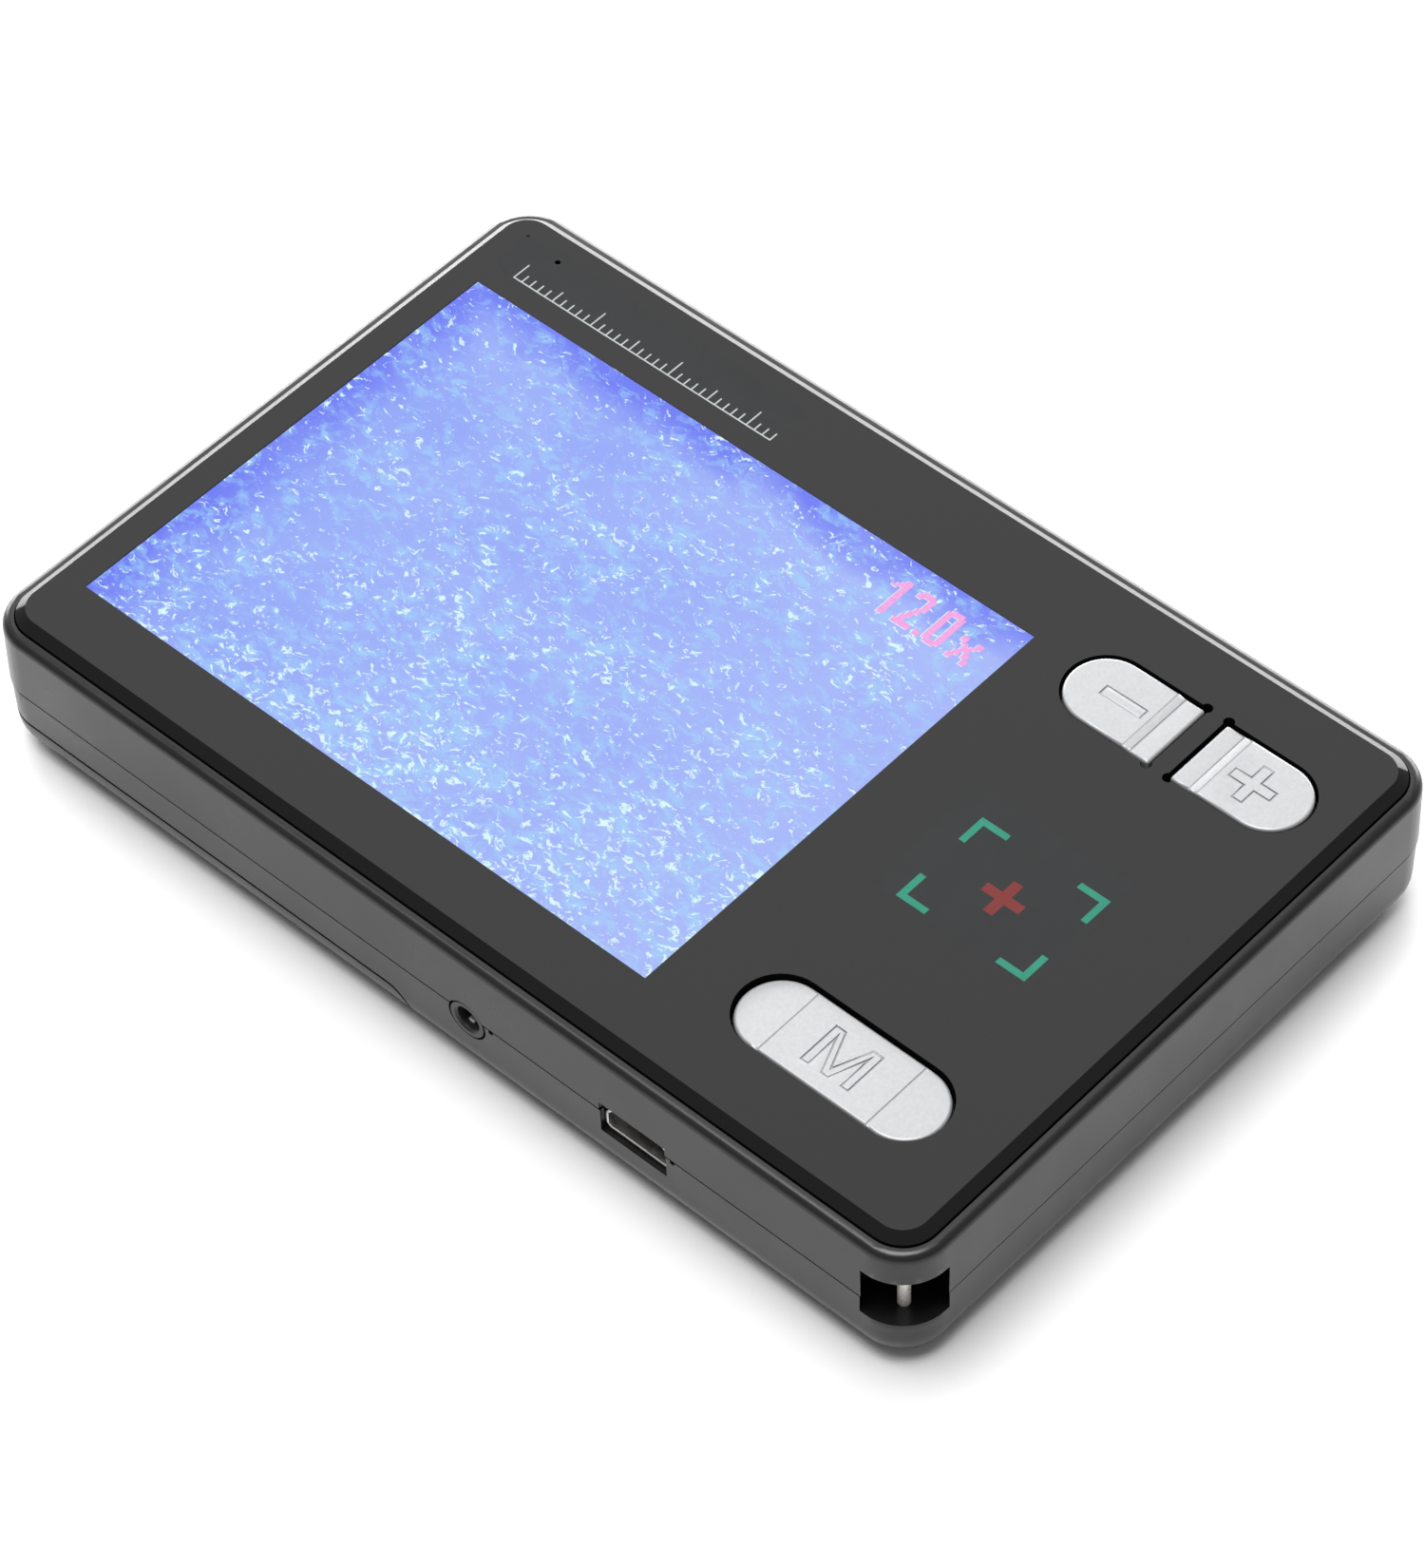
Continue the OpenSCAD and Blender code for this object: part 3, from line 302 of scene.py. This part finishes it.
def warped_coords(add, size_mm, shift_mm, stretch):
    """Coordinates of the row frame, pushed about by a noise and then stretched."""
    coords = add("ShaderNodeTexCoord").outputs["Object"]
    push = add("ShaderNodeTexNoise", [("Vector", coords)], Detail=2.0)
    push.inputs["Scale"].default_value = 1 / (size_mm * MM)
    offset = add("ShaderNodeVectorMath", [(0, push.outputs["Color"])], operation="SUBTRACT")
    offset.inputs[1].default_value = (0.5, 0.5, 0.5)
    shift = add("ShaderNodeVectorMath", [(0, offset.outputs[0])], operation="SCALE")
    shift.inputs["Scale"].default_value = shift_mm * MM
    moved = add("ShaderNodeVectorMath", [(0, coords), (1, shift.outputs[0])], operation="ADD").outputs[0]
    turn = add("ShaderNodeMapping", [("Vector", moved)])
    turn.inputs["Rotation"].default_value = (0, 0, math.radians(35))
    turn.inputs["Scale"].default_value = (1.0, stretch, 1.0)
    return turn.outputs[0]


def lit(add, colour, strength):
    """A glowing face with the sheen of the glass over it."""
    shader = add("ShaderNodeBsdfPrincipled", [("Emission Color", colour)], Roughness=GLASS_ROUGH)
    shader.inputs["Base Color"].default_value = (0.01, 0.01, 0.01, 1)
    shader.inputs["Emission Strength"].default_value = strength
    return shader.outputs[0]


def picture_light(name):
    """The lit picture: a blue page seen 12 times its size, with pale cyan fibres in drifts."""
    made, tree, output, add = nodes_of(name)
    curly = warped_coords(add, 2.2, 2.4, 1.7)
    crowd = maths(add, "ADD", along(add, "Y", 26, -26, 0.0, 0.55), along(add, "X", -53, 17, 0.0, 0.25))
    crowd = maths(add, "ADD", crowd, remap(add, noise(add, 11.0, 2.0), 0.35, 0.65, -0.35, 0.35))
    lift = remap(add, crowd, 0.0, 1.0, -0.035, 0.040)
    fine = noise(add, 1.0, 3.5, 0.65, 0.3, curly)
    soft = noise(add, 2.2, 4.0, 0.65, 0.3, curly)
    cores = ramp(add, maths(add, "ADD", fine, lift), (0.575, 0.0), (0.645, 1.0))
    halos = ramp(add, maths(add, "ADD", soft, lift), (0.47, 0.0), (0.66, 1.0))
    page = ramp(add, noise(add, 14.0, 2.0), (0.35, (0.245, 0.345, 0.96)), (0.65, (0.310, 0.415, 0.98)))
    wobble = remap(add, noise(add, 7.0, 2.0), 0.3, 0.7, -0.25, 0.25)
    left = maths(add, "ADD", along(add, "X", -53, -45, 1.0, 0.0), wobble)
    far = maths(add, "ADD", along(add, "Y", 26.3, 20.0, 1.0, 0.0), wobble)
    shade = ramp(add, maths(add, "MAXIMUM", left, far), (0.15, 0.0), (1.0, 0.85))
    page = mix(add, along(add, "X", -53, 17, 0.0, 0.55), page, (0.47, 0.54, 0.99))
    page = mix(add, shade, page, (0.10, 0.135, 0.93))
    haze = mix(add, maths(add, "MULTIPLY", halos, 0.62), page, (0.36, 0.70, 0.98))
    colour = mix(add, cores, haze, (0.74, 0.97, 0.98))
    tree.links.new(lit(add, colour, 0.96), output.inputs["Surface"])
    return made


def glow(name, colour, strength):
    """A lit mark whose colour varies a little."""
    made, tree, output, add = nodes_of(name)
    tone = ramp(add, noise(add, 0.4, 2.0), (0.3, colour_range(colour, 0.9)),
                (0.7, colour_range(colour, 1.08)))
    tree.links.new(lit(add, tone, strength), output.inputs["Surface"])
    return made


def widened(low, high, before, after):
    """A rectangle's corners, with room added before the low one and after the high one."""
    return (low[0] - before[0], low[1] - before[1]), (high[0] + after[0], high[1] + after[1])


def see_through():
    """The rectangles of the front sheet that something shows through.

    The sheet is thick, so a slanting look from the near side of the key end needs room towards that
    corner. Past the other two sides it would land on the dark walls below, so the picture's
    rectangle is drawn in there. A look from the far side or the other end loses those two edges of
    the picture, and a look from the far side also finds the picture through the scale's rectangle.
    """
    half_l, half_w = PICTURE_L / 2, PICTURE_W / 2
    return [
        widened((PICTURE_X - half_l, -half_w), (PICTURE_X + half_l, half_w), *PICTURE_ROOM),
        widened(*box_mm("target_frame_print"), *PRINT_ROOM),
        widened((SCALE_X, SCALE_Y), (SCALE_X + SCALE_MM, SCALE_Y + SCALE_TALL), *PRINT_ROOM),
        widened(*box_mm("light_pipe"), *PIPE_ROOM),
    ]


def make_materials():
    """A finish for each of the record's material slots, and two more: grey print, and a darker grey that
    paints shade on the floors of the key lines.
    """
    ink = dict(mottle=0.06, mottle_mm=1.5, rough_spread=0.02)
    return {
        "case_plastic": surface("case_plastic_satin", (0.010, 0.010, 0.0105), 0.30, mottle=0.06, mottle_mm=14,
                                grain_mm=0.20, grain_depth_mm=0.003, specks=0.12),
        "clear_acrylic": backed_sheet("acrylic_polished", (0.96, 0.97, 0.97), see_through()),
        "black_print": surface("print_black", (0.006, 0.006, 0.0065), 0.10, mottle=0.2, mottle_mm=4,
                               rough_spread=0.02),
        "green_print": surface("print_teal", (0.008, 0.20, 0.125), 0.12, **ink),
        "red_print": surface("print_red", (0.15, 0.008, 0.005), 0.12, **ink),
        "grey_print": surface("print_grey", (0.42, 0.42, 0.43), 0.12, **ink),
        "foam_tape": surface("foam", (0.035, 0.035, 0.035), 0.95, grain_mm=0.3, grain_depth_mm=0.05),
        "display": surface("display_border", (0.008, 0.008, 0.012), 0.10, rough_spread=0.02),
        "display_tray": surface("display_tin", (0.55, 0.56, 0.57), 0.35, metal=1.0, grain_mm=0.5,
                                grain_depth_mm=0.003),
        "flex_film": surface("polyimide", (0.42, 0.17, 0.03), 0.35, mottle=0.2, mottle_mm=2),
        "connector_plastic": surface("connector_ivory", (0.72, 0.68, 0.57), 0.45),
        "circuit_board": surface("board_mask", (0.010, 0.075, 0.03), 0.3, mottle=0.35, mottle_mm=1.2,
                                 grain_mm=0.5, grain_depth_mm=0.01),
        "chip_resin": surface("chip_epoxy", (0.012, 0.012, 0.013), 0.55, grain_mm=0.12, grain_depth_mm=0.006),
        "screw_steel": surface("screw_zinc", (0.5, 0.5, 0.5), 0.3, metal=1.0, rough_spread=0.12,
                               mottle_mm=0.8),
        "sensor_face": surface("sensor_silicon", (0.03, 0.035, 0.07), 0.12, mottle=0.4, mottle_mm=1),
        "black_moulding": surface("moulding_black", (0.02, 0.02, 0.02), 0.42, grain_mm=0.2,
                                  grain_depth_mm=0.004),
        "optical_glass": clear_sheet("lens_coated", (0.80, 0.86, 0.98), 1.7),
        "clear_window": clear_sheet("window_clear", (0.96, 0.97, 0.97)),
        "led_resin": surface("led_phosphor", (0.78, 0.62, 0.12), 0.4, mottle_mm=1),
        "silver_key": surface("key_silver_paint", (0.40, 0.405, 0.415), 0.40, metal=0.35, mottle=0.05,
                              mottle_mm=0.35, grain_mm=0.16, grain_depth_mm=0.004),
        # Painted shade: a darker grey for the floors of the key lines and folds, standing in for the shade in
        # those recesses.
        "key_groove": surface("groove_floor_painted_shade", (0.29, 0.29, 0.295), 0.55, metal=0.1, mottle=0.1,
                              mottle_mm=0.35),
        "switch_plastic": surface("stem_plastic", (0.75, 0.73, 0.68), 0.45),
        "switch_metal": surface("switch_tin", (0.6, 0.6, 0.6), 0.3, metal=1.0),
        "battery_skin": surface("battery_film", (0.03, 0.09, 0.22), 0.3, mottle_mm=3),
        "contact_gold": surface("gold_plate", (0.85, 0.60, 0.25), 0.25, metal=1.0, rough_spread=0.1),
        "socket_steel": surface("socket_tin", (0.84, 0.83, 0.81), 0.34, metal=1.0, rough_spread=0.08,
                                mottle_mm=0.8),
        "pin_steel": surface("pin_polished", (0.90, 0.88, 0.83), 0.34, metal=0.45, rough_spread=0.08,
                             mottle_mm=0.6),
    }


# ---- Finish of the CAD parts ---------------------------------------------------------

WELD_MM = 0.0005
FLAT_DEGREES = 0.6
EDGE_ROUNDS_MM = {
    "upper_housing": 0.10, "lower_housing": 0.10, "battery_cover": 0.10,
    "jack_body": 0.05, "usb_shell": 0.05, "usb_insulator": 0.04, "camera_window": 0.04,
    "lens_holder": 0.05, "lens_barrel": 0.04, "illumination_leds": 0.08, "battery_pack": 0.25,
    "main_board": 0.04, "main_processor": 0.05, "contact_block": 0.06, "lanyard_pin": 0.05,
    "housing_screws": 0.04, "board_screws": 0.03, "display_frame": 0.05, "flex_connector": 0.05,
}


def finish_cad_nodes(materials):
    """Gives every CAD node its material."""
    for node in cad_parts.values():
        for slot in node.material_slots:
            slot.material = materials[slot.material.name.split(".")[0]]


def soften_edges(name, width_mm, angle=30.0, segments=2):
    """Small rounds on a CAD part's sharp edges, as a mould or a cutter leaves them."""
    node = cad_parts[name]
    if "custom_normal" in node.data.attributes:
        node.data.attributes.remove(node.data.attributes["custom_normal"])
    node.data.shade_smooth()
    weld = node.modifiers.new("weld", "WELD")
    weld.merge_threshold = WELD_MM * MM
    flat = node.modifiers.new("flat", "DECIMATE")
    flat.decimate_type = "DISSOLVE"
    flat.angle_limit = math.radians(FLAT_DEGREES)
    add_rounding(node, width_mm * MM, segments, angle)


def add_rounding(piece, width, segments, angle):
    """Rounds every edge sharper than angle and keeps the flat faces flat."""
    bevel = piece.modifiers.new("round", "BEVEL")
    bevel.width = width
    bevel.segments = segments
    bevel.limit_method = "ANGLE"
    bevel.angle_limit = math.radians(angle)
    bevel.miter_outer = "MITER_ARC"
    keep_flats(piece)


def keep_flats(piece):
    """Shades large flat faces as flat, whatever rounds they meet."""
    normals = piece.modifiers.new("normals", "WEIGHTED_NORMAL")
    normals.keep_sharp = True
    normals.weight = 60


# ---- Mesh tools, in millimetres --------------------------------------------------------


def object_from(bm, name="scratch"):
    """A new object of a bmesh, which is used up."""
    mesh = bpy.data.meshes.new(name)
    bm.to_mesh(mesh)
    bm.free()
    made = bpy.data.objects.new(name, mesh)
    bpy.context.scene.collection.objects.link(made)
    return made


def baked(scratch):
    """A bmesh of a scratch object with its modifiers applied; the object goes."""
    bm = bmesh.new()
    bm.from_object(scratch, bpy.context.evaluated_depsgraph_get())
    mesh = scratch.data
    bpy.data.objects.remove(scratch)
    bpy.data.meshes.remove(mesh)
    return bm


def combined(bm, tool, operation):
    """The union, difference or intersection of two closed shapes."""
    body = object_from(bm)
    cutter = object_from(tool)
    both = body.modifiers.new("combine", "BOOLEAN")
    both.operation = operation
    both.solver = "EXACT"
    both.object = cutter
    result = baked(body)
    mesh = cutter.data
    bpy.data.objects.remove(cutter)
    bpy.data.meshes.remove(mesh)
    return result


def rounded(bm, width, segments, angle):
    """A closed shape with its sharp edges rounded."""
    body = object_from(bm)
    add_rounding(body, width, segments, angle)
    return baked(body)


def prism(outline, low, high, across=False):
    """A closed bar of the outline's shape: upright from low to high, or lying along Y where across."""
    bm = bmesh.new()
    rings = []
    for level in (low, high):
        corners = [(u, level, v) if across else (u, v, level) for u, v in outline]
        rings.append([bm.verts.new(corner) for corner in corners])
    for ring in rings:
        bm.faces.new(ring)
    for k in range(len(outline)):
        after = (k + 1) % len(outline)
        bm.faces.new([rings[0][k], rings[0][after], rings[1][after], rings[1][k]])
    bmesh.ops.recalc_face_normals(bm, faces=bm.faces)
    return bm


def arc(x, y, radius, start, end, steps=32):
    """Points on a round stretch, in degrees from +X."""
    angles = (math.radians(start + (end - start) * k / steps) for k in range(steps + 1))
    return [(x + radius * math.cos(a), y + radius * math.sin(a)) for a in angles]


def inset_outline(points, distance):
    """An anticlockwise outline moved inwards."""
    moved = []
    for k, here in enumerate(points):
        last, after = Vector(points[k - 1]), Vector(points[(k + 1) % len(points)])
        into, away = (Vector(here) - last).normalized(), (after - Vector(here)).normalized()
        side = Vector((-into.y - away.y, into.x + away.x)) / (1 + into.dot(away))
        moved.append(tuple(Vector(here) + side * distance))
    return moved


def rectangle(x, y, length, width):
    """The corners of a rectangle about a centre, anticlockwise."""
    return [(x - length / 2, y - width / 2), (x + length / 2, y - width / 2),
            (x + length / 2, y + width / 2), (x - length / 2, y + width / 2)]


def new_piece(name, bm, material, body):
    """A mesh object that rides on a body; the bmesh is in millimetres of the row frame."""
    bmesh.ops.scale(bm, vec=(MM, MM, MM), verts=bm.verts)
    bmesh.ops.recalc_face_normals(bm, faces=bm.faces)
    piece = object_from(bm, name)
    piece.data.materials.append(material)
    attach(piece, body)
    return piece


def box_mm(node):
    """A CAD node's box, in millimetres."""
    low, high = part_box(node)
    return low / MM, high / MM


# ---- Keys ----------------------------------------------------------------------------

KEY_ROUND = 0.30
LINE_W = 0.20
LINE_DEPTH = 0.16
FLANGE_T = 0.7
FLANGE_OUT = 1.0
FLANGE_AT_BAR = 0.5
STEP_DOWN = 0.14
FOLD_W = 0.18
FOLD_DEPTH = 0.09
STEP_L = 2.1
SLOPE_L = 0.9
GLYPH_SHIFT = 0.1
BAR_L = 4.8
BAR_W = 1.3
FOLD_L = 12
REACH = 9
OVERLAP = 0.3
CAP_ROUND_STEPS = 4
CAP_ROUND_DEGREES = 15
SHARP_DEGREES = 38
SAME_HEIGHT_MM = 0.01


def capped(outline, profile, flange, low, high, y):
    """A key: the outline's cap, shaped by a side profile and rounded, on its flange."""
    flange_top = low.z + FLANGE_T
    cap = combined(prism(outline, flange_top - OVERLAP, high.z + 1),
                   prism(profile, y - REACH, y + REACH, across=True), "INTERSECT")
    return combined(rounded(cap, KEY_ROUND, CAP_ROUND_STEPS, CAP_ROUND_DEGREES),
                    prism(flange, low.z, flange_top + OVERLAP), "UNION")


def engraved(bm, outline, top):
    """Cuts a thin channel that follows the inside of an outline."""
    inner = prism(inset_outline(outline, LINE_W), top - 2, top + 2)
    channel = combined(prism(outline, top - LINE_DEPTH, top + 1), inner, "DIFFERENCE")
    return combined(bm, channel, "DIFFERENCE")


def folded(bm, x, y, level):
    """Cuts the fine line across a key where its face changes slope."""
    groove = prism(rectangle(x, y, FOLD_W, FOLD_L), level - FOLD_DEPTH, level + 1)
    return combined(bm, groove, "DIFFERENCE")


def finished_key(name, bm, body, materials, floors):
    """Makes the key's object; the floors of its lines, at the heights given, are coloured a darker grey as
    painted shade.
    """
    piece = new_piece(name, bm, materials["silver_key"], body)
    piece.data.materials.append(materials["key_groove"])
    # Faces at the floor heights take the darker grey: painted shade in the lines.
    for face in piece.data.polygons:
        heights = [piece.data.vertices[i].co.z / MM for i in face.vertices]
        if any(all(abs(height - level) < SAME_HEIGHT_MM for height in heights) for level in floors):
            face.material_index = 1
    piece.data.shade_smooth()
    piece.data.set_sharp_from_angle(angle=math.radians(SHARP_DEGREES))
    keep_flats(piece)
    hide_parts(body.replace("button", "key"))


def zoom_key(name, body, side, materials):
    """A key with a round outer end and a flat inner end, where its face steps down."""
    low, high = box_mm(body.replace("button", "key"))
    radius = (high.y - low.y) / 2 - FLANGE_OUT
    y = (low.y + high.y) / 2
    tip = low.x + FLANGE_OUT if side < 0 else high.x - FLANGE_OUT
    length = high.x - low.x - FLANGE_OUT - FLANGE_AT_BAR
    flange_top = low.z + FLANGE_T

    def turned(points):
        """Points counted from the outer tip inwards, placed on this key."""
        placed = [(tip - side * u, v) for u, v in points]
        return placed if side < 0 else placed[::-1]

    outline = turned(arc(radius, y, radius, 90, 270) + [(length, y - radius), (length, y + radius)])
    step = length - STEP_L
    profile = turned([(-1, flange_top), (length + 1, flange_top), (length + 1, high.z - STEP_DOWN),
                      (step, high.z - STEP_DOWN), (step - SLOPE_L, high.z), (-1, high.z)])
    wide = radius + FLANGE_OUT
    flange = turned(arc(radius, y, wide, 90, 270)
                    + [(length + FLANGE_AT_BAR, y - wide), (length + FLANGE_AT_BAR, y + wide)])
    key = capped(outline, profile, flange, low, high, y)
    x = tip - side * (length / 2 - GLYPH_SHIFT)
    half, thin = BAR_L / 2, BAR_W / 2
    if side < 0:
        glyph = rectangle(x, y, BAR_L, BAR_W)
    else:
        quarter = [(half, -thin), (half, thin), (thin, thin)]
        glyph = [(x + u * c - v * s, y + u * s + v * c)
                 for c, s in ((1, 0), (0, 1), (-1, 0), (0, -1)) for u, v in quarter]
    for u, level in ((step, high.z - STEP_DOWN), (step - SLOPE_L, high.z)):
        key = folded(key, tip - side * u, y, level)
    # The floor of the glyph's line gets the painted shade.
    finished_key(name, engraved(key, glyph, high.z), body, materials, (high.z - LINE_DEPTH,))


M_OUTLINE = [(-2.75, -2.4), (-1.75, -2.4), (-1.75, 0.95), (-0.45, -2.4), (0.45, -2.4), (1.75, 0.95),
             (1.75, -2.4), (2.75, -2.4), (2.75, 2.4), (1.5, 2.4), (0, -1.2), (-1.5, 2.4), (-2.75, 2.4)]
FOLD_X = 6.1
TIP_DROP = 0.20


def mode_key(name, body, materials):
    """The long key: level in the middle, with a faint fold where each end starts to fall."""
    low, high = box_mm(body.replace("button", "key"))
    x, y = (low.x + high.x) / 2, (low.y + high.y) / 2
    radius = (high.y - low.y) / 2 - FLANGE_OUT
    half = (high.x - low.x) / 2 - FLANGE_OUT
    flange_top = low.z + FLANGE_T

    def stadium(r):
        """The key's outline, with ends of the radius given."""
        return arc(x + half - radius, y, r, -90, 90) + arc(x - half + radius, y, r, 90, 270)

    profile = [(x - half, flange_top), (x + half, flange_top), (x + half, high.z - TIP_DROP),
               (x + FOLD_X, high.z), (x - FOLD_X, high.z), (x - half, high.z - TIP_DROP)]
    key = capped(stadium(radius), profile, stadium(radius + FLANGE_OUT), low, high, y)
    for side in (-1, 1):
        key = folded(key, x + side * FOLD_X, y, high.z)
    glyph = [(x + u, y + v) for u, v in M_OUTLINE]
    # The floors of the M's line and of the folds get the painted shade.
    floors = (high.z - LINE_DEPTH, high.z - FOLD_DEPTH)
    finished_key(name, engraved(key, glyph, high.z), body, materials, floors)


# ---- Picture, readout and scale ------------------------------------------------------

PICTURE_L = 70.08
PICTURE_W = 52.56
PICTURE_X = -17.9
READOUT_Y = 19.25
DOT = 0.34
PICTURE_LIFT = 0.02
EDGE_LIFT = 0.04
FACE_LIFT = 0.06
EDGE_SHIFT_X = 0.32
EDGE_SHIFT_Y = 0.28
FACE_DOT = 0.98
GLYPHS = {
    "1": (3.0, "...## ..### .#### ##.##" + " ...##" * 10),
    "2": (5.7, ".####. ###### ##..##" + " ....##" * 3 + " ...##." * 2 + " ..##.." * 2 + " .##..." * 2
          + " ######" * 2),
    ".": (8.24, ".. " * 12 + "## ##"),
    "0": (9.2, ".####. ######" + " ##..##" * 10 + " ###### .####."),
    "x": (12.2, "##...## ##...## .##.##. ..###.. ..###.. .##.##. .##.##. ##...## ##...##"),
}


def flat_dots(cells, z):
    """Separate flat rectangles, each given as (x, y, length, width), at one height."""
    bm = bmesh.new()
    for cell in cells:
        bm.faces.new([bm.verts.new((u, v, z)) for u, v in rectangle(*cell)])
    return bm


def make_picture():
    """The lit picture on the face of the display glass."""
    z = box_mm("display_glass")[1].z + PICTURE_LIFT
    bm = bmesh.new()
    bmesh.ops.create_grid(bm, x_segments=8, y_segments=6, size=0.5)
    bmesh.ops.scale(bm, vec=(PICTURE_L, PICTURE_W, 1), verts=bm.verts)
    bmesh.ops.translate(bm, vec=(PICTURE_X, 0, z), verts=bm.verts)
    new_piece("display_picture", bm, picture_light("picture_glow"), "case")


def make_readout():
    """The zoom factor in the corner of the picture, in square dots with a pale edge."""
    glass = box_mm("display_glass")[1].z
    cells = []
    for x, text in GLYPHS.values():
        rows = text.split()
        for row, line in enumerate(rows):
            for column, dot in enumerate(line):
                if dot == "#":
                    cells.append((x + (column + 0.5) * DOT, READOUT_Y + (len(rows) - row - 0.5) * DOT))
    edge = [(u - EDGE_SHIFT_X * DOT, v - EDGE_SHIFT_Y * DOT, DOT, DOT) for u, v in cells]
    face = [(u, v, DOT * FACE_DOT, DOT * FACE_DOT) for u, v in cells]
    pale = glow("readout_pale", (0.72, 0.86, 1.0), 0.95)
    pink = glow("readout_pink", (1.0, 0.36, 0.80), 0.98)
    new_piece("readout_edge", flat_dots(edge, glass + EDGE_LIFT), pale, "case")
    new_piece("zoom_readout", flat_dots(face, glass + FACE_LIFT), pink, "case")


# From the bore's axis sideways and in height, and inwards from the mouth's face.
SPRING_SIDE = -0.3
SPRING_IN = 1.3
SPRING_W = 0.7
SPRING_L = 1.0
SPRING_Z0 = -1.4
SPRING_Z1 = -0.95
SPRING_ROUND = 0.12


def make_jack_spring(materials):
    """The contact spring that shows on the floor of the jack's bore."""
    low, high = box_mm("jack_body")
    x, z = (low.x + high.x) / 2, (low.z + high.z) / 2
    outline = rectangle(x + SPRING_SIDE, low.y + SPRING_IN, SPRING_W, SPRING_L)
    bm = rounded(prism(outline, z + SPRING_Z0, z + SPRING_Z1), SPRING_ROUND, 2, 30)
    new_piece("jack_spring", bm, materials["pin_steel"], "case")


SCALE_X = -50.0
SCALE_Y = 28.3
SCALE_MM = 33
SCALE_LINE = 0.16
SCALE_TALL = 2.2
SCALE_LIFT = 0.008
LONG_TICK = 2.1
MIDDLE_TICK = 1.5
SHORT_TICK = 0.95


def make_scale_print(materials):
    """A plain millimetre scale printed beside the picture, on the back of the clear sheet."""
    z = box_mm("panel_print")[1].z + SCALE_LIFT
    cells = [(SCALE_X + SCALE_MM / 2, SCALE_Y, SCALE_MM + SCALE_LINE, SCALE_LINE)]
    for k in range(SCALE_MM + 1):
        tick = LONG_TICK if k % 10 == 0 else MIDDLE_TICK if k % 5 == 0 else SHORT_TICK
        cells.append((SCALE_X + k, SCALE_Y + (tick + SCALE_LINE) / 2, SCALE_LINE, tick))
    new_piece("edge_scale_print", flat_dots(cells, z), materials["grey_print"], "case")


# ---- Making ----------------------------------------------------------------------------

materials = make_materials()
finish_cad_nodes(materials)
for part, width in EDGE_ROUNDS_MM.items():
    soften_edges(part, width)
make_picture()
make_readout()
make_scale_print(materials)
make_jack_spring(materials)
zoom_key("minus_key_cap", "minus_button", -1, materials)
zoom_key("plus_key_cap", "plus_button", 1, materials)
mode_key("mode_key_cap", "mode_button", materials)
make_floor()
make_lights()
make_world()
make_camera()
bpy.context.scene.view_settings.view_transform = "Standard"
